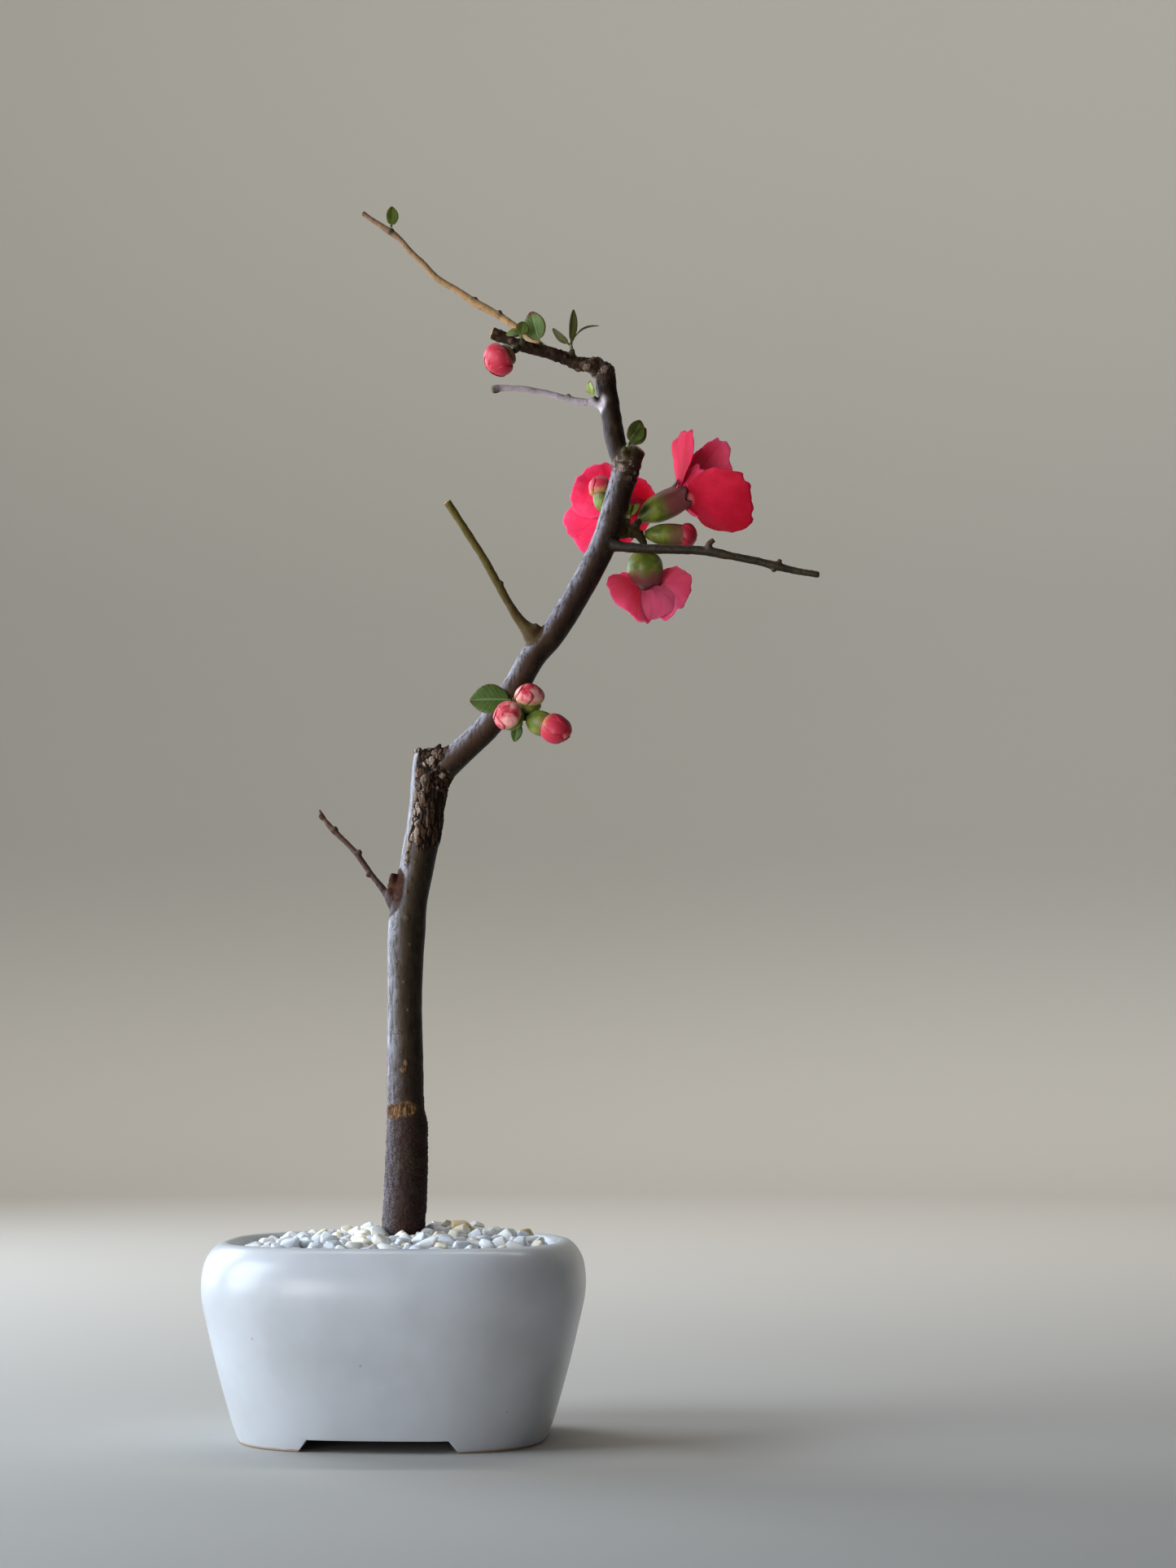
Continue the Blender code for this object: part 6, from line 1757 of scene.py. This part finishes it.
def leaf_sheet(leaf, base, teeth):
    """A leaf that widens from its stalk, toothed, folded along its midrib and curled back at its tip."""
    direction = unit(leaf.direction)
    face = floats(leaf.face)
    face = unit(face - direction * float(face @ direction))
    across = np.cross(direction, face)
    fold = tan(radians(leaf.fold))
    curl = radians(leaf.curl)

    def sheet(u, v):
        side = np.abs(v)
        body = np.clip((u - leaf.stalk) / (1 - leaf.stalk), 0, 1)
        shape = np.sin(pi * np.clip(0.04 + 0.95 * body ** 0.9, 0, 1)) ** 0.7 * (body > 0)
        reach = STALK_HALF_WIDTH * (1 - 0.7 * body ** 4) + (leaf.width / 2 - STALK_HALF_WIDTH) * shape
        tooth = (body * teeth) % 1.0
        reach = reach * (1 - 0.045 * (1 - tooth) * np.clip(body * 5, 0, 1) * side ** 6)
        out = leaf.length * (np.sin(curl * u) / curl)
        back = leaf.length * ((1 - np.cos(curl * u)) / curl)
        lift = side * reach * fold * np.clip(body * 3, 0, 1) * 0.6
        wavy = 0.045 * leaf.width * np.sin(9 * u + 2 * np.sign(v)) * side ** 2 * body
        quilt = 0.06 * np.abs(np.sin((u - 0.24 * side) * 25)) * (1 - side ** 3) * np.clip(body * 4, 0, 1)
        return (base + np.outer(out, direction) - np.outer(back, face) + np.outer(reach * v, across)
                + np.outer(lift + wavy + quilt, face))

    return sheet


def make_leaves(foliage):
    """Each sprig: one leaf, or a few on a short stem, all toothed and veined."""
    material = leaf_finish(foliage)
    for sprig in SPRIGS:
        way = sprig_direction(sprig)
        start = floats(sprig.base) + way * STALK_CLEARANCE
        parts = Parts()
        if len(sprig.leaves) > 1:
            parts.add(*tube([(*start, 0.75), (*(start + way * 1.6), 0.6)], 12, 0.8), tone=sprig.tone)
            start = start + way
        for leaf in sprig.leaves:
            parts.add(*blade(leaf_sheet(leaf, start, foliage.teeth), 5 * foliage.teeth, 10,
                             foliage.thickness / MM), tone=sprig.tone)
        item = parts.piece(sprig.name + "_blade", material)
        mark(item.data, "age", sprig.age)
        mark(item.data, "bronze", sprig.bronze)
        hand_over(item, "leaf_green", sprig.name)


def add_light(name, at, target, size, colour, spread, power):
    """A soft rectangular light that looks at a target and that the camera doesn't see."""
    light = bpy.data.lights.new(name, "AREA")
    light.spread = radians(spread)
    light.shape = "RECTANGLE"
    light.size, light.size_y = size
    light.energy = power
    light.color = colour
    item = linked(name, light)
    item.location = at
    item.visible_camera = False
    item.rotation_euler = (Vector(target) - item.location).to_track_quat("-Z", "Y").to_euler()


def make_stage(studio):
    """A pale floor that curves up all round, the lights, the sky and the camera."""
    coat = Finish("studio_floor", Roughness=0.9)
    climb = coat.step(coat.split(coat.spot, "Z") + coat.noise(40.0, 3.0) * 0.01, 0.02, 0.45)
    coat.ground(climb, studio.floor, studio.wall)
    bend = np.radians(range(0, 91, 9))
    arc = zip(FLOOR_REACH + FLOOR_BEND * np.sin(bend), FLOOR_BEND * (1 - np.cos(bend)))
    profile = [(0.02, 0.0), (0.4, 0.0), (1.2, 0.0), *arc, (FLOOR_REACH + FLOOR_BEND, FLOOR_WALL)]
    angle = turns(FLOOR_SIDES)
    loops = [np.column_stack([radius * np.cos(angle), radius * np.sin(angle), np.full(FLOOR_SIDES, height)])
             for radius, height in profile]
    faces = [face[::-1] for face in loops_faces(len(loops), FLOOR_SIDES)[:-1]]
    points = shift(np.concatenate(loops) - (0, 0, 0.0002))
    new_piece("studio_floor", points, faces, coat.done())
    for setting, *facts in LIGHTS:
        add_light(setting + "_light", *facts, getattr(studio, setting))
    world = bpy.data.worlds.new("studio_sky")
    world.use_nodes = True
    sky = world.node_tree.nodes["Background"]
    sky.inputs["Color"].default_value = SKY_COLOUR
    sky.inputs["Strength"].default_value = studio.sky
    bpy.context.scene.world = world
    camera = bpy.data.cameras.new("camera")
    camera.sensor_width = SENSOR
    camera.lens = SENSOR * FOCAL_PIXELS / PICTURE_HEIGHT
    camera.dof.use_dof = False
    item = linked("camera", camera)
    item.location = CAMERA_PLACE
    item.rotation_euler = (radians(CAMERA_TILT), 0.0, radians(CAMERA_TURN))
    bpy.context.scene.camera = item
    bpy.context.scene.view_settings.view_transform = "Standard"


def dress(node, material):
    """Give a carried-over solid its coat."""
    for holder in frame["nodes"][node].material_slots:
        holder.material = material


class BONSAI_OT_pot(bpy.types.Operator):
    """Make the glazed pot"""
    bl_idname = "bonsai.make_pot"
    bl_label = "Pot"

    def execute(self, context):
        make_pot(context.scene.bonsai.pot)
        return {"FINISHED"}


class BONSAI_OT_filling(bpy.types.Operator):
    """Finish the soil and the screen over the drain hole"""
    bl_idname = "bonsai.finish_filling"
    bl_label = "Soil and screen"

    def execute(self, context):
        dress("soil", soil_finish())
        dress("drain_mesh", screen_finish())
        return {"FINISHED"}


class BONSAI_OT_gravel(bpy.types.Operator):
    """Scatter the quartz chips"""
    bl_idname = "bonsai.make_gravel"
    bl_label = "Gravel"

    def execute(self, context):
        make_gravel(context.scene.bonsai.gravel)
        return {"FINISHED"}


class BONSAI_OT_wood(bpy.types.Operator):
    """Make the trunk, branches and twigs"""
    bl_idname = "bonsai.make_wood"
    bl_label = "Wood"

    def execute(self, context):
        make_wood(context.scene.bonsai.bark)
        return {"FINISHED"}


class BONSAI_OT_blooms(bpy.types.Operator):
    """Make the three blooms"""
    bl_idname = "bonsai.make_blooms"
    bl_label = "Blooms"

    def execute(self, context):
        make_blooms(context.scene.bonsai.flower)
        return {"FINISHED"}


class BONSAI_OT_buds(bpy.types.Operator):
    """Make the six buds"""
    bl_idname = "bonsai.make_buds"
    bl_label = "Buds"

    def execute(self, context):
        make_buds(context.scene.bonsai.flower)
        return {"FINISHED"}


class BONSAI_OT_leaves(bpy.types.Operator):
    """Make the leaves"""
    bl_idname = "bonsai.make_leaves"
    bl_label = "Leaves"

    def execute(self, context):
        make_leaves(context.scene.bonsai.foliage)
        return {"FINISHED"}


class BONSAI_OT_stage(bpy.types.Operator):
    """Set up the floor, the lights and the camera"""
    bl_idname = "bonsai.make_stage"
    bl_label = "Stage"

    def execute(self, context):
        make_stage(context.scene.bonsai.studio)
        return {"FINISHED"}


STEPS = (BONSAI_OT_pot, BONSAI_OT_filling, BONSAI_OT_gravel, BONSAI_OT_wood, BONSAI_OT_blooms,
         BONSAI_OT_buds, BONSAI_OT_leaves, BONSAI_OT_stage)


class BONSAI_PT_panel(bpy.types.Panel):
    """The steps of the making, with their settings"""
    bl_idname = "BONSAI_PT_panel"
    bl_label = "Flowering Quince Bonsai"
    bl_space_type = "VIEW_3D"
    bl_region_type = "UI"
    bl_category = "Bonsai"

    def draw(self, context):
        for step in STEPS:
            self.layout.operator(step.bl_idname)
        for label in ("pot", "gravel", "bark", "flower", "foliage", "studio"):
            group = getattr(context.scene.bonsai, label)
            box = self.layout.box()
            box.label(text=label.capitalize())
            for key in group.bl_rna.properties.keys():
                if key not in ("rna_type", "name"):
                    box.prop(group, key)


class BonsaiSettings(bpy.types.PropertyGroup):
    """All settings of the bonsai."""
    pot: PointerProperty(type=PotSettings)
    gravel: PointerProperty(type=GravelSettings)
    bark: PointerProperty(type=BarkSettings)
    flower: PointerProperty(type=FlowerSettings)
    foliage: PointerProperty(type=LeafSettings)
    studio: PointerProperty(type=StudioSettings)


CLASSES = (PotSettings, GravelSettings, BarkSettings, FlowerSettings, LeafSettings, StudioSettings,
           BonsaiSettings, *STEPS, BONSAI_PT_panel)


def register():
    for item in CLASSES:
        bpy.utils.register_class(item)
    bpy.types.Scene.bonsai = PointerProperty(type=BonsaiSettings)


def unregister():
    del bpy.types.Scene.bonsai
    for item in reversed(CLASSES):
        bpy.utils.unregister_class(item)


def main():
    """Make every piece through its operator."""
    register()
    bpy.ops.bonsai.make_pot()
    bpy.ops.bonsai.finish_filling()
    bpy.ops.bonsai.make_gravel()
    bpy.ops.bonsai.make_wood()
    bpy.ops.bonsai.make_blooms()
    bpy.ops.bonsai.make_buds()
    bpy.ops.bonsai.make_leaves()
    bpy.ops.bonsai.make_stage()


if __name__ == "__main__":
    main()
